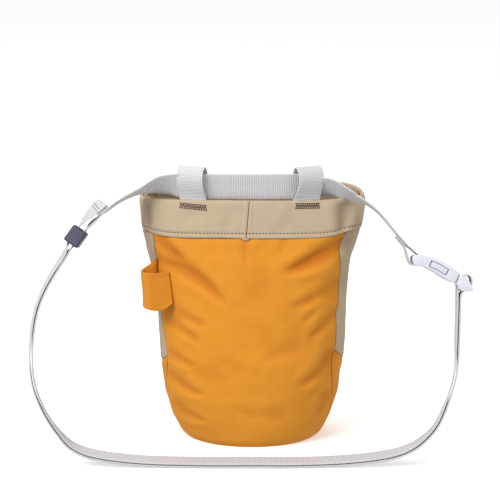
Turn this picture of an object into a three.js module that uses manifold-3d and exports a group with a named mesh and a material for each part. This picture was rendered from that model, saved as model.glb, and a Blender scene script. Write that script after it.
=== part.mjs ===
// A climbing chalk bag: a soft bucket of sewn panels with a lining, and a webbing waist belt that
// runs through two loops on the rim and is closed by a side release buckle.
// Millimetres, +Z up. The side of the bag that carries the belt loops faces -Y, called near here.
import * as THREE from "three";
import { mergeVertices } from "three/addons/utils/BufferGeometryUtils.js";
import Module from "manifold-3d";

const wasm = await Module();
wasm.setup();

// Body of the bag
const bodyHeight = 174.6;
const baseDiameter = 92.6;
const bellyWidth = 128.6;
const bellyDepth = 114.5;
const rimWidth = 156;
const rimDepth = 96;
const rimRaise = 1;
const shellWall = 1.8;
const bootHeight = 66;
const bootDip = 14;

// Cuff round the rim, and the lining
const bandHeight = 26;
const bandWall = 2.6;
const liningWall = 2.2;
const liningDrop = 1.2;
const liningAir = 1.6;

// Webbing belt, and the loops that hold it
const webbingWidth = 19;
const webbingThickness = 1.2;
const layerGap = 0.9;
const loopSpacing = 80;
const loopHeight = 22.9;
const loopDepth = 9.6;
const loopTuck = 9;
const hoopHalfWidth = 145;
const hoopReach = 92.4;
const hoopLean = THREE.MathUtils.degToRad(11.3);
const tailLength = 23;
const hemLength = 8;

// Slider and buckle
const sliderLength = 12.3;
const sliderThickness = 11;
const sliderCheek = 2.2;
const sliderBar = 3;
const buckleLength = 42;
const buckleCheek = 3.6;
const buckleWall = 1.9;
const buckleBar = 3.2;

// Brush loop at the left seam
const brushLoopTop = 122;
const brushLoopHeight = 25.5;
const brushLoopWidth = 20.6;
const brushLoopDepth = 12;
const brushLoopWall = 1.5;

// Clearances: between two sewn edges, between two pieces, and from the floor
const seamGap = 0.6;
const clearance = 0.35;
const floorGap = 0.2;

// How the section of the bag changes with height. What belly and rim leave of 1 follows the base.
const sections = [
  { height: 0, belly: 0, rim: 0 },
  { height: 0.012, belly: 0.14, rim: 0 },
  { height: 0.03, belly: 0.27, rim: 0 },
  { height: 0.055, belly: 0.39, rim: 0 },
  { height: 0.09, belly: 0.54, rim: 0 },
  { height: 0.19, belly: 0.83, rim: 0 },
  { height: 0.33, belly: 1, rim: 0 },
  { height: 0.54, belly: 0.86, rim: 0.14 },
  { height: 0.67, belly: 0.735, rim: 0.265 },
  { height: 0.745, belly: 0.64, rim: 0.36 },
  { height: 0.8, belly: 0.385, rim: 0.615 },
  { height: 0.85, belly: 0.225, rim: 0.775 },
  { height: 0.89, belly: 0.08, rim: 0.92 },
  { height: 1, belly: 0, rim: 1 },
];

// Where the widest line of the section lies, as a share of half its depth, and how square its corners are
const baseForm = { widest: 0, nearPower: 2, farPower: 2 };
const bellyForm = { widest: -0.07, nearPower: 2.3, farPower: 2.1 };
const rimForm = { widest: -0.42, nearPower: 2.9, farPower: 2.45 };

// Side seams of the back panel, as shares of the half width of the section
const sideSeams = [
  { height: 0, left: 0.88, right: 0.88 },
  { height: 0.16, left: 0.83, right: 0.85 },
  { height: 0.3, left: 0.86, right: 0.86 },
  { height: 0.4, left: 0.885, right: 0.885 },
  { height: 0.54, left: 0.915, right: 0.87 },
  { height: 0.75, left: 0.93, right: 0.855 },
  { height: 0.86, left: 0.9, right: 0.83 },
];

// Main folds of the near side: ends as shares of half the belly width and of the height,
// depth as a share of foldDepth, and spread as a share of foldSpread
const foldDepth = 4;
const foldSpread = 9;
const folds = [
  { x1: 0.4, z1: 0.71, x2: 0.86, z2: 0.78, depth: 1, spread: 1 },
  { x1: 0.42, z1: 0.58, x2: 0.84, z2: 0.64, depth: 0.7, spread: 0.9 },
  { x1: 0.5, z1: 0.2, x2: 0.84, z2: 0.34, depth: 0.9, spread: 1 },
  { x1: -0.92, z1: 0.82, x2: -0.7, z2: 0.76, depth: 0.8, spread: 0.9 },
  { x1: -0.76, z1: 0.71, x2: -0.28, z2: 0.6, depth: 0.8, spread: 0.9 },
  { x1: -0.82, z1: 0.3, x2: -0.5, z2: 0.24, depth: 0.5, spread: 0.8 },
  { x1: 0.35, z1: 0.74, x2: 0.8, z2: 0.83, depth: -0.4, spread: 1 },
];

// The belt over the rim: across is a share of half the rim width, reach of half the rim depth,
// rise above the rim a share of the webbing width, and lean the angle of the webbing in degrees
const beltOverRim = [
  { across: 1.1, reach: -1.17, rise: -0.32, lean: 77 },
  { across: 0.98, reach: -1.1, rise: 0.02, lean: 74 },
  { across: 0.906, reach: -1.05, rise: 0.16, lean: 64 },
  { across: 0.82, reach: -1.05, rise: 0.36, lean: 53 },
  { across: 0.741, reach: -0.975, rise: 0.47, lean: 42 },
  { across: 0.67, reach: -0.925, rise: 0.505, lean: 22 },
  { across: 0.6, reach: -0.918, rise: 0.465, lean: 14 },
  { across: 0.5, reach: -0.94, rise: 0.453, lean: 14.5 },
  { across: 0.25, reach: -0.95, rise: 0.453, lean: 14.5 },
  { across: 0, reach: -0.958, rise: 0.453, lean: 14.5 },
  { across: -0.25, reach: -0.95, rise: 0.453, lean: 14.5 },
  { across: -0.5, reach: -0.94, rise: 0.453, lean: 14.5 },
  { across: -0.6, reach: -0.925, rise: 0.46, lean: 15 },
  { across: -0.715, reach: -0.9, rise: 0.485, lean: 29 },
  { across: -0.804, reach: -0.9, rise: 0.485, lean: 36 },
  { across: -0.891, reach: -0.92, rise: 0.45, lean: 45 },
  { across: -0.978, reach: -0.96, rise: 0.365, lean: 56 },
  { across: -1.064, reach: -1.02, rise: 0.22, lean: 64 },
  { across: -1.15, reach: -1.09, rise: 0.04, lean: 73 },
  { across: -1.24, reach: -1.16, rise: -0.2, lean: 77 },
];

// The two layers of the belt from the slider round the floor to the buckle, on the plane of the hoop:
// across is a share of its half width, up a share of the body height
const hoopRoute = [
  { across: -0.87, up: 0.81 },
  { across: -0.933, up: 0.729 },
  { across: -0.973, up: 0.668 },
  { across: -1.003, up: 0.607 },
  { across: -1.021, up: 0.546 },
  { across: -1.03, up: 0.485 },
  { across: -1.034, up: 0.424 },
  { across: -1.032, up: 0.363 },
  { across: -1.02, up: 0.301 },
  { across: -0.994, up: 0.241 },
  { across: -0.954, up: 0.178 },
  { across: -0.907, up: 0.126 },
  { across: -0.851, up: 0.079 },
  { across: -0.781, up: 0.05 },
  { across: -0.71, up: 0.036 },
  { across: -0.617, up: 0.025 },
  { across: -0.476, up: 0.0155 },
  { across: -0.24, up: 0.0108 },
  { across: 0, up: 0.0106 },
  { across: 0.227, up: 0.0108 },
  { across: 0.461, up: 0.0195 },
  { across: 0.602, up: 0.033 },
  { across: 0.696, up: 0.05 },
  { across: 0.766, up: 0.076 },
  { across: 0.827, up: 0.115 },
  { across: 0.869, up: 0.156 },
  { across: 0.902, up: 0.21 },
  { across: 0.93, up: 0.271 },
  { across: 0.951, up: 0.332 },
  { across: 0.961, up: 0.393 },
  { across: 0.963, up: 0.454 },
  { across: 0.965, up: 0.52 },
  { across: 0.968, up: 0.6 },
];

const slider = { across: -0.822, up: 0.8725, turn: -125.8 };
const buckle = { across: 0.887, up: 0.734 };

// Buckle, seen from its side: all as shares of the buckle length from its middle
const socketOutline = [
  { along: -0.476, up: 0.174 },
  { along: -0.481, up: 0.252 },
  { along: -0.448, up: 0.288 },
  { along: -0.343, up: 0.29 },
  { along: -0.245, up: 0.276 },
  { along: -0.148, up: 0.252 },
  { along: -0.019, up: 0.198 },
  { along: 0.143, up: 0.102 },
  { along: 0.264, up: 0.014 },
  { along: 0.279, up: -0.021 },
  { along: 0.217, up: -0.152 },
  { along: 0.15, up: -0.152 },
  { along: 0.062, up: -0.11 },
  { along: -0.083, up: -0.017 },
  { along: -0.181, up: 0.043 },
  { along: -0.245, up: 0.074 },
  { along: -0.302, up: 0.102 },
  { along: -0.39, up: 0.11 },
  { along: -0.448, up: 0.121 },
];
const plugOutline = [
  { along: 0.29, up: -0.024 },
  { along: 0.362, up: -0.048 },
  { along: 0.45, up: -0.148 },
  { along: 0.474, up: -0.214 },
  { along: 0.502, up: -0.248 },
  { along: 0.49, up: -0.286 },
  { along: 0.402, up: -0.305 },
  { along: 0.312, up: -0.295 },
  { along: 0.264, up: -0.248 },
  { along: 0.229, up: -0.162 },
];
const buckleMiddle = [
  { along: -0.2, up: 0.157 },
  { along: -0.052, up: 0.09 },
  { along: 0.102, up: -0.005 },
  { along: 0.255, up: -0.092 },
];
const socketBar = { along: -0.429, up: 0.205 };
const plugBar = { along: 0.39, up: -0.15 };

// The belt at the two bars of the buckle, from the middle of the buckle
const socketWrap = [
  { along: -0.728, up: 0.59 },
  { along: -0.604, up: 0.438 },
  { along: -0.572, up: 0.36 },
  { along: -0.552, up: 0.275 },
  { along: -0.522, up: 0.185 },
  { along: -0.473, up: 0.134 },
  { along: -0.362, up: 0.152 },
  { along: -0.346, up: 0.212 },
  { along: -0.37, up: 0.282 },
  { along: -0.43, up: 0.343 },
  { along: -0.572, up: 0.465 },
  { along: -0.74, up: 0.662 },
];
const plugWrap = [
  { along: 0.262, up: -0.34 },
  { along: 0.27, up: -0.235 },
  { along: 0.302, up: -0.14 },
  { along: 0.345, up: -0.07 },
  { along: 0.405, up: -0.033 },
  { along: 0.462, up: -0.057 },
  { along: 0.488, up: -0.119 },
  { along: 0.474, up: -0.19 },
  { along: 0.42, up: -0.245 },
  { along: 0.355, up: -0.29 },
  { along: 0.316, up: -0.35 },
];

// The webbing of a belt loop, seen from its side: out is a share of loopDepth, up of loopHeight
const loopArch = [
  { out: 0.07, up: 0.17 },
  { out: 0.29, up: 0.39 },
  { out: 0.38, up: 0.61 },
  { out: 0.34, up: 0.79 },
  { out: 0.13, up: 0.935 },
  { out: -0.16, up: 1 },
  { out: -0.44, up: 0.935 },
  { out: -0.63, up: 0.79 },
  { out: -0.73, up: 0.57 },
  { out: -0.75, up: 0.35 },
  { out: -0.72, up: 0.15 },
];

// The brush loop seen from above, from where it is sewn on: left is a share of brushLoopWidth,
// near of brushLoopDepth, and drop how much further its lower edge hangs, of brushLoopHeight
const brushLoopRoute = [
  { left: 0.34, near: 0.28, drop: 0.1 },
  { left: 0.68, near: 0.3, drop: 0.04 },
  { left: 0.92, near: 0.15, drop: 0 },
  { left: 1, near: -0.16, drop: 0 },
  { left: 0.9, near: -0.46, drop: 0 },
  { left: 0.68, near: -0.68, drop: 0 },
];
const brushLoopSewn = 0.82;

// The value of one column of a table at a height share, in straight steps between its rows
function tableValue(table, column, at) {
  const next = table.findIndex((row) => row.height >= at);
  if (next === 0) return table[0][column];
  if (next < 0) return table[table.length - 1][column];
  const low = table[next - 1];
  const high = table[next];
  const share = (at - low.height) / (high.height - low.height);
  return THREE.MathUtils.lerp(low[column], high[column], share);
}

// A closed solid through rings with the same number of points, with a flat strip as each end
function loft(rings) {
  const count = rings[0].length;
  const points = rings.flat();
  const index = [];
  for (let r = 0; r + 1 < rings.length; r++) {
    for (let i = 0; i < count; i++) {
      const a = r * count + i;
      const b = r * count + ((i + 1) % count);
      index.push(a, b, b + count, a, b + count, a + count);
    }
  }
  const last = (rings.length - 1) * count;
  for (let i = 0; i + 1 < count / 2; i++) {
    const across = count - 1 - i;
    index.push(i, across - 1, i + 1);
    if (across - 1 !== i + 1) index.push(i, across, across - 1);
    index.push(last + i, last + i + 1, last + across - 1);
    if (across - 1 !== i + 1) index.push(last + i, last + across - 1, last + across);
  }
  const geometry = new THREE.BufferGeometry().setFromPoints(points);
  geometry.setIndex(volumeOf(points, index) < 0 ? index.reverse() : index);
  geometry.computeVertexNormals();
  return geometry;
}

function volumeOf(points, index) {
  let six = 0;
  const side = new THREE.Vector3();
  for (let i = 0; i < index.length; i += 3) {
    side.crossVectors(points[index[i + 1]], points[index[i + 2]]);
    six += points[index[i]].dot(side);
  }
  return six / 6;
}

function toSolid(geometry) {
  const bare = geometry.clone();
  bare.deleteAttribute("normal");
  bare.deleteAttribute("uv");
  const merged = mergeVertices(bare, 1e-4);
  return new wasm.Manifold(
    new wasm.Mesh({
      numProp: 3,
      vertProperties: merged.attributes.position.array,
      triVerts: new Uint32Array(merged.index.array),
    }),
  );
}

function toGeometry(solid) {
  const mesh = solid.getMesh();
  const geometry = new THREE.BufferGeometry();
  geometry.setAttribute("position", new THREE.BufferAttribute(mesh.vertProperties, 3));
  geometry.setIndex(new THREE.BufferAttribute(mesh.triVerts, 1));
  geometry.computeVertexNormals();
  return geometry;
}

// The whole section at a height: half width, depth of its near and far halves, corner powers
function sectionAt(height) {
  const share = THREE.MathUtils.clamp(height / bodyHeight, 0, 1);
  const belly = tableValue(sections, "belly", share);
  const rim = tableValue(sections, "rim", share);
  const blend = (ofBase, ofBelly, ofRim) => ofBase * (1 - belly - rim) + ofBelly * belly + ofRim * rim;
  const halfDepth = blend(baseDiameter, bellyDepth, rimDepth) / 2;
  const widest = blend(baseForm.widest, bellyForm.widest, rimForm.widest) * halfDepth;
  return {
    halfWidth: blend(baseDiameter, bellyWidth, rimWidth) / 2,
    widest,
    near: halfDepth + widest,
    far: halfDepth - widest,
    nearPower: blend(baseForm.nearPower, bellyForm.nearPower, rimForm.nearPower),
    farPower: blend(baseForm.farPower, bellyForm.farPower, rimForm.farPower),
  };
}

// How far the folds press the near side in at a place given across and up
function foldAt(x, height) {
  const place = new THREE.Vector2(x, height);
  let pressed = 0;
  for (const fold of folds) {
    const from = new THREE.Vector2((fold.x1 * bellyWidth) / 2, fold.z1 * bodyHeight);
    const to = new THREE.Vector2((fold.x2 * bellyWidth) / 2, fold.z2 * bodyHeight);
    const run = to.clone().sub(from);
    const along = THREE.MathUtils.clamp(place.clone().sub(from).dot(run) / run.lengthSq(), 0, 1);
    const away = place.distanceTo(from.addScaledVector(run, along)) / (fold.spread * foldSpread);
    pressed += fold.depth * foldDepth * Math.exp(-away * away);
  }
  return pressed;
}

// Outer face of the bag. The angle is 0 at the right, and -90 degrees at the middle of the near side.
function skin(angle, height) {
  const form = sectionAt(height);
  const cos = Math.cos(angle);
  const sin = Math.sin(angle);
  const power = 2 / (sin < 0 ? form.nearPower : form.farPower);
  const depth = sin < 0 ? form.near : form.far;
  const x = form.halfWidth * Math.sign(cos) * Math.abs(cos) ** power;
  const y = form.widest + depth * Math.sign(sin) * Math.abs(sin) ** power;
  const high = height / bodyHeight;
  const nearCorner = THREE.MathUtils.smoothstep(x / rimWidth, 0.3, 0.45);
  const raise = rimRaise * nearCorner * THREE.MathUtils.smoothstep(high, 0.85, 1);
  const facing = sin < 0 ? Math.abs(sin) ** 0.5 : 0;
  const press = foldAt(x, height) * facing * (1 - THREE.MathUtils.smoothstep(high, 0.8, 0.85));
  const inward = new THREE.Vector3(-x, -y, 0).normalize();
  return new THREE.Vector3(x, y, height + raise).addScaledVector(inward, press);
}

// The face that lies this far inside the outer one
function inside(angle, height, inset) {
  const step = 0.02;
  const low = Math.max(height - 1, 0);
  const around = skin(angle + step, height).sub(skin(angle - step, height));
  const up = skin(angle, low + 2).sub(skin(angle, low));
  const outward = around.cross(up).normalize();
  return skin(angle, height).addScaledVector(outward, -inset);
}

// The angle on the near side where the face lies this share of the half width from the middle
function angleAt(share, height) {
  const { nearPower } = sectionAt(height);
  const turn = Math.acos(Math.min(Math.abs(share), 1) ** (nearPower / 2));
  return share < 0 ? -Math.PI + turn : -turn;
}

function seamAngle(side, height) {
  const share = tableValue(sideSeams, side, height / bodyHeight);
  return angleAt(side === "left" ? -share : share, height);
}

// Angle that a gap between two edges takes at the side of the bag
const seamTurn = (seamGap * 3) / bellyWidth;

// A sewn panel: a grid of faces between two edges in angle and two in height
function panel({ from, to, bottom, top, columns, rows, wall }) {
  const rings = [];
  for (let c = 0; c <= columns; c++) {
    const share = c / columns;
    const outer = [];
    const inner = [];
    for (let r = 0; r <= rows; r++) {
      const place = r / rows;
      const guess = THREE.MathUtils.lerp(bottom(0), top(0), place);
      const near = THREE.MathUtils.lerp(from(guess), to(guess), share);
      const height = THREE.MathUtils.lerp(bottom(near), top(near), place);
      const angle = THREE.MathUtils.lerp(from(height), to(height), share);
      outer.push(inside(angle, height, 0));
      inner.push(inside(angle, height, wall));
    }
    rings.push([...outer, ...inner.reverse()]);
  }
  return loft(rings);
}

const bandBottom = bodyHeight - bandHeight;
const panelTop = bandBottom - seamGap;
const baseThickness = shellWall;
const wallStart = clearance;

// Height of the seam between the boot and the front panel: high at the back panel, lower round the front
function bootSeam(angle) {
  const turned = Math.abs(THREE.MathUtils.euclideanModulo(angle + Math.PI / 2, 2 * Math.PI) - Math.PI);
  const fromSeam = THREE.MathUtils.smoothstep(Math.PI - turned, Math.PI * 0.25, Math.PI * 0.55);
  return bootHeight - bootDip * fromSeam;
}

const rightEdge = (height) => seamAngle("right", height);
const leftEdge = (height) => seamAngle("left", height);
const roundRight = (height) => rightEdge(height) + seamTurn;
const roundLeft = (height) => leftEdge(height) + 2 * Math.PI - seamTurn;

function backPanel() {
  return panel({
    from: leftEdge,
    to: rightEdge,
    bottom: () => wallStart,
    top: () => panelTop,
    columns: 20,
    rows: 24,
    wall: shellWall,
  });
}

function frontPanel() {
  return panel({
    from: roundRight,
    to: roundLeft,
    bottom: (angle) => bootSeam(angle) + seamGap,
    top: () => panelTop,
    columns: 26,
    rows: 12,
    wall: shellWall,
  });
}

function bootPanel() {
  return panel({
    from: roundRight,
    to: roundLeft,
    bottom: () => wallStart,
    top: bootSeam,
    columns: 28,
    rows: 8,
    wall: shellWall,
  });
}

function basePanel() {
  const radius = baseDiameter / 2 - shellWall;
  const geometry = new THREE.CylinderGeometry(radius, radius, baseThickness, 40);
  geometry.rotateX(Math.PI / 2);
  geometry.translate(0, 0, baseThickness / 2);
  return geometry;
}

// The cuff is one strip whose ends are sewn together in the middle of the near side
function rimBand() {
  const seam = seamGap / rimWidth;
  return panel({
    from: (height) => angleAt(seam, height),
    to: (height) => angleAt(-seam, height) + 2 * Math.PI,
    bottom: () => bandBottom,
    top: () => bodyHeight,
    columns: 44,
    rows: 3,
    wall: bandWall,
  });
}

// A cup of fleece inside the panels
const liningInset = Math.max(bandWall + clearance, shellWall + liningAir);

function lining() {
  const around = 42;
  const rows = 15;
  const start = clearance;
  const ring = (height, inset) =>
    Array.from({ length: around }, (_, i) => {
      const point = inside((i / around) * 2 * Math.PI, height, inset);
      point.z = Math.max(point.z, baseThickness + clearance);
      return point;
    });
  const heights = Array.from({ length: rows + 1 }, (_, r) => {
    return THREE.MathUtils.lerp(start, bodyHeight - liningDrop, r / rows);
  });
  const outer = heights.map((height) => ring(height, liningInset));
  const inner = heights.map((height) => ring(height, liningInset + liningWall)).reverse();
  return loft([...outer, ...inner]);
}

// Rectangular section of the webbing at a place, with its width along one direction
function webbingRing(at, wide, tangent, width = webbingWidth, thickness = webbingThickness) {
  const across = wide.clone().addScaledVector(tangent, -wide.dot(tangent)).normalize();
  const normal = new THREE.Vector3().crossVectors(tangent, across);
  const corner = (w, t) => {
    const edge = at.clone().addScaledVector(across, (w * width) / 2);
    return edge.addScaledVector(normal, (t * thickness) / 2);
  };
  return [corner(-1, -1), corner(1, -1), corner(1, 1), corner(-1, 1)];
}

// Webbing through stations, each a place and the direction of its width, with smooth steps between them
function webbing(stations, steps, width, thickness) {
  const curve = new THREE.CatmullRomCurve3(stations.map((s) => s.at), false, "centripetal");
  const count = (stations.length - 1) * steps;
  const rings = [];
  for (let i = 0; i <= count; i++) {
    const share = i / count;
    const place = share * (stations.length - 1);
    const low = Math.min(Math.floor(place), stations.length - 2);
    const wide = stations[low].wide.clone().lerp(stations[low + 1].wide, place - low);
    rings.push(webbingRing(curve.getPoint(share), wide, curve.getTangent(share), width, thickness));
  }
  return loft(rings);
}

// A belt loop stands on the rim with one end tucked behind the cuff and the other inside the lining.
// The sweep is thicker and wider than the webbing by 2 times the swell, to cut its own slot.
const tuckInset = bandWall - webbingThickness / 2;
const innerInset = liningInset + liningWall + 2 * clearance + webbingThickness / 2;

function loopStations(centre, arch) {
  const angle = angleAt(centre / (rimWidth / 2), bodyHeight);
  const edge = inside(angle, bodyHeight, 0);
  const outward = edge.clone().sub(inside(angle, bodyHeight, 1)).setZ(0).normalize();
  const along = new THREE.Vector3(-outward.y, outward.x, 0);
  const at = (out, up) => edge.clone().addScaledVector(outward, out).add(new THREE.Vector3(0, 0, up));
  const station = (out, up) => ({ at: at(out, up), wide: along });
  const tucked = (inset) => [-loopTuck, -loopTuck / 2, 0].map((up) => station(-inset, up));
  const front = tucked(tuckInset);
  const back = tucked(innerInset).reverse();
  const over = loopArch.map((row) => station(row.out * loopDepth, row.up * loopHeight));
  return arch ? [...front, ...over, ...back] : front;
}

function beltLoop(centre) {
  return webbing(loopStations(centre, true), 2);
}

// The slot behind the cuff that the outer end of a belt loop sits in
function tuckSlot(centre) {
  const stations = loopStations(centre, false);
  stations[0].at.z -= clearance;
  stations[stations.length - 1].at.z += loopTuck / 2;
  return toSolid(webbing(stations, 1, webbingWidth + 2 * clearance, webbingThickness + 2 * clearance));
}

function slottedBand() {
  let solid = toSolid(rimBand());
  for (const side of [-1, 1]) solid = solid.subtract(tuckSlot((side * loopSpacing) / 2));
  return toGeometry(solid);
}

// A band of fabric folded into a loop that holds a brush, sewn to the back panel and into its left seam
function brushLoop() {
  const levels = [0, 0.5, 1];
  const out = clearance + brushLoopWall / 2;
  const routeAt = (level) => {
    const height = brushLoopTop - level * brushLoopHeight;
    const sewn = inside(angleAt(-brushLoopSewn, height), height, -out);
    const seam = inside(leftEdge(height) - seamTurn, height, -out);
    const bends = brushLoopRoute.map((row) => {
      const left = row.left * brushLoopWidth;
      const near = row.near * brushLoopDepth;
      const drop = level * row.drop * brushLoopHeight;
      return new THREE.Vector3(sewn.x - left, sewn.y - near, sewn.z - drop);
    });
    return new THREE.CatmullRomCurve3([sewn, ...bends, seam], false, "centripetal");
  };
  const curves = levels.map(routeAt);
  const steps = 22;
  const rings = [];
  for (let i = 0; i <= steps; i++) {
    const share = i / steps;
    const front = [];
    const back = [];
    for (const curve of curves) {
      const tangent = curve.getTangent(share).setZ(0).normalize();
      const normal = new THREE.Vector3(tangent.y, -tangent.x, 0);
      front.push(curve.getPoint(share).addScaledVector(normal, brushLoopWall / 2));
      back.push(curve.getPoint(share).addScaledVector(normal, -brushLoopWall / 2));
    }
    rings.push([...front, ...back.reverse()]);
  }
  return loft(rings);
}

// The hoop of the belt lies on a plane that stands in front of the bag and leans back towards its rim
const hoopWide = new THREE.Vector3(0, -Math.cos(hoopLean), Math.sin(hoopLean));

function onHoop(across, up) {
  return new THREE.Vector3(across, up * Math.sin(hoopLean) - hoopReach, up * Math.cos(hoopLean));
}

function hoopPlace(row) {
  return new THREE.Vector2(row.across * hoopHalfWidth, (row.up * bodyHeight) / Math.cos(hoopLean));
}

const sliderCentre = hoopPlace(slider);
const buckleCentre = hoopPlace(buckle);
const onBuckle = (row) => new THREE.Vector2(row.along, row.up).multiplyScalar(buckleLength);

const sliderTurn = THREE.MathUtils.degToRad(slider.turn);
const sliderAlong = new THREE.Vector2(Math.cos(sliderTurn), Math.sin(sliderTurn));
const sliderOut = new THREE.Vector2(sliderAlong.y, -sliderAlong.x);
const inSlider = (along, out) => {
  const place = sliderCentre.clone().addScaledVector(sliderAlong, along).addScaledVector(sliderOut, out);
  return onHoop(place.x, place.y);
};

const slotWidth = webbingWidth + 4 * clearance;
const besideBar = sliderBar / 2 + clearance + webbingThickness / 2 + 0.15;
const slotHeight = 2 * (besideBar + webbingThickness / 2 + clearance);
const sliderWidth = slotWidth + 2 * sliderCheek;
const layerOffset = (webbingThickness + layerGap) / 2;

function roundedRectangle(width, height, radius) {
  const shape = new THREE.Shape();
  const x = width / 2;
  const y = height / 2;
  shape.moveTo(-x + radius, -y);
  shape.lineTo(x - radius, -y);
  shape.absarc(x - radius, -y + radius, radius, -Math.PI / 2, 0);
  shape.lineTo(x, y - radius);
  shape.absarc(x - radius, y - radius, radius, 0, Math.PI / 2);
  shape.lineTo(-x + radius, y);
  shape.absarc(-x + radius, y - radius, radius, Math.PI / 2, Math.PI);
  shape.lineTo(-x, -y + radius);
  shape.absarc(-x + radius, -y + radius, radius, Math.PI, Math.PI * 1.5);
  return shape;
}

// A short sleeve with a cross bar, x along the belt, y out of the hoop and z along the webbing's width
function sliderBody() {
  const edge = 0.8;
  const shape = roundedRectangle(sliderWidth, sliderThickness, 1.6);
  shape.holes.push(roundedRectangle(slotWidth, slotHeight, 0.8));
  const sleeve = new THREE.ExtrudeGeometry(shape, {
    depth: sliderLength - 2 * edge,
    curveSegments: 2,
    bevelThickness: edge,
    bevelSize: edge,
    bevelOffset: -edge,
    bevelSegments: 1,
  });
  sleeve.translate(0, 0, -sliderLength / 2 + edge);
  sleeve.rotateY(Math.PI / 2);
  const bar = new THREE.CylinderGeometry(sliderBar / 2, sliderBar / 2, slotWidth + sliderCheek, 12);
  bar.rotateX(Math.PI / 2);
  return toGeometry(toSolid(sleeve).add(toSolid(bar)));
}

const buckleWidth = slotWidth + 2 * buckleCheek;

// A side view outline turned into a block of this width, centred, with its long edges rounded off
function buckleBlock(points, width, edge) {
  const depth = width - 2 * edge;
  const block = new THREE.ExtrudeGeometry(new THREE.Shape(points), {
    depth,
    bevelEnabled: edge > 0,
    bevelThickness: edge,
    bevelSize: edge,
    bevelOffset: -edge,
    bevelSegments: 2,
  });
  block.translate(0, 0, -depth / 2);
  return toSolid(block);
}

function barBlock(centre, radius, width) {
  const bar = new THREE.CylinderGeometry(radius, radius, width, 12);
  bar.rotateX(Math.PI / 2);
  bar.translate(centre.x, centre.y, 0);
  return toSolid(bar);
}

// Outline of a strip that follows the middle line of the buckle between two of its rows
function middleStrip(rows, half, before, after) {
  const line = rows.map(onBuckle);
  const last = line.length - 1;
  const start = line[0].clone().sub(line[1]).normalize();
  const end = line[last].clone().sub(line[last - 1]).normalize();
  line[0].addScaledVector(start, before);
  line[last].addScaledVector(end, after);
  const sides = line.map((point, i) => {
    const run = line[Math.min(i + 1, last)].clone().sub(line[Math.max(i - 1, 0)]).normalize();
    return new THREE.Vector2(-run.y, run.x).multiplyScalar(half);
  });
  const upper = line.map((point, i) => point.clone().add(sides[i]));
  const lower = line.map((point, i) => point.clone().sub(sides[i])).reverse();
  return [...upper, ...lower];
}

const buckleHalf = 0.107 * buckleLength;
const cavityHalf = buckleHalf - buckleWall;
const cavityWidth = buckleWidth - 2 * buckleWall;
const windowRows = buckleMiddle.slice(0, 3);

function buckleSocket() {
  const neckEnd = onBuckle({ along: -0.31, up: 0.2 });
  const opening = buckleLength;
  const neckCut = new THREE.BoxGeometry(opening, opening, slotWidth);
  neckCut.translate(neckEnd.x - opening / 2, neckEnd.y, 0);
  const cavity = buckleBlock(middleStrip(buckleMiddle, cavityHalf, 0.5, buckleLength / 10), cavityWidth, 0);
  const window = buckleBlock(middleStrip(windowRows, cavityHalf - 0.3, -0.2, -0.8), buckleWidth + 2, 0);
  let solid = buckleBlock(socketOutline.map(onBuckle), buckleWidth, 1.2);
  solid = solid.subtract(toSolid(neckCut));
  solid = solid.add(barBlock(onBuckle(socketBar), buckleBar / 2, slotWidth + buckleCheek));
  return toGeometry(solid.subtract(cavity).subtract(window));
}

function bucklePlug() {
  const shoulder = 0.0285 * buckleLength;
  const joint = [plugOutline[plugOutline.length - 1], plugOutline[0]].map(onBuckle);
  const along = joint[1].clone().sub(joint[0]).normalize();
  const away = new THREE.Vector2(along.y, -along.x);
  const reach = buckleLength;
  const cut = [
    joint[0].clone().addScaledVector(away, shoulder).addScaledVector(along, -reach),
    joint[0].clone().addScaledVector(away, shoulder + reach).addScaledVector(along, -reach),
    joint[1].clone().addScaledVector(away, shoulder + reach).addScaledVector(along, reach),
    joint[1].clone().addScaledVector(away, shoulder).addScaledVector(along, reach),
  ];
  const tongueHalf = cavityHalf - clearance;
  const tongue = buckleBlock(middleStrip(buckleMiddle, tongueHalf, 0, 1.4), cavityWidth - 2 * clearance, 0);
  const pads = buckleBlock(middleStrip(windowRows, cavityHalf - 0.75, -1, -1.6), buckleWidth - 1, 0);
  let solid = buckleBlock(plugOutline.map(onBuckle), buckleWidth, 1);
  solid = solid.subtract(buckleBlock(cut, slotWidth, 0));
  solid = solid.add(barBlock(onBuckle(plugBar), buckleBar / 2, slotWidth + buckleCheek));
  return toGeometry(solid.add(tongue).add(pads));
}

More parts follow.
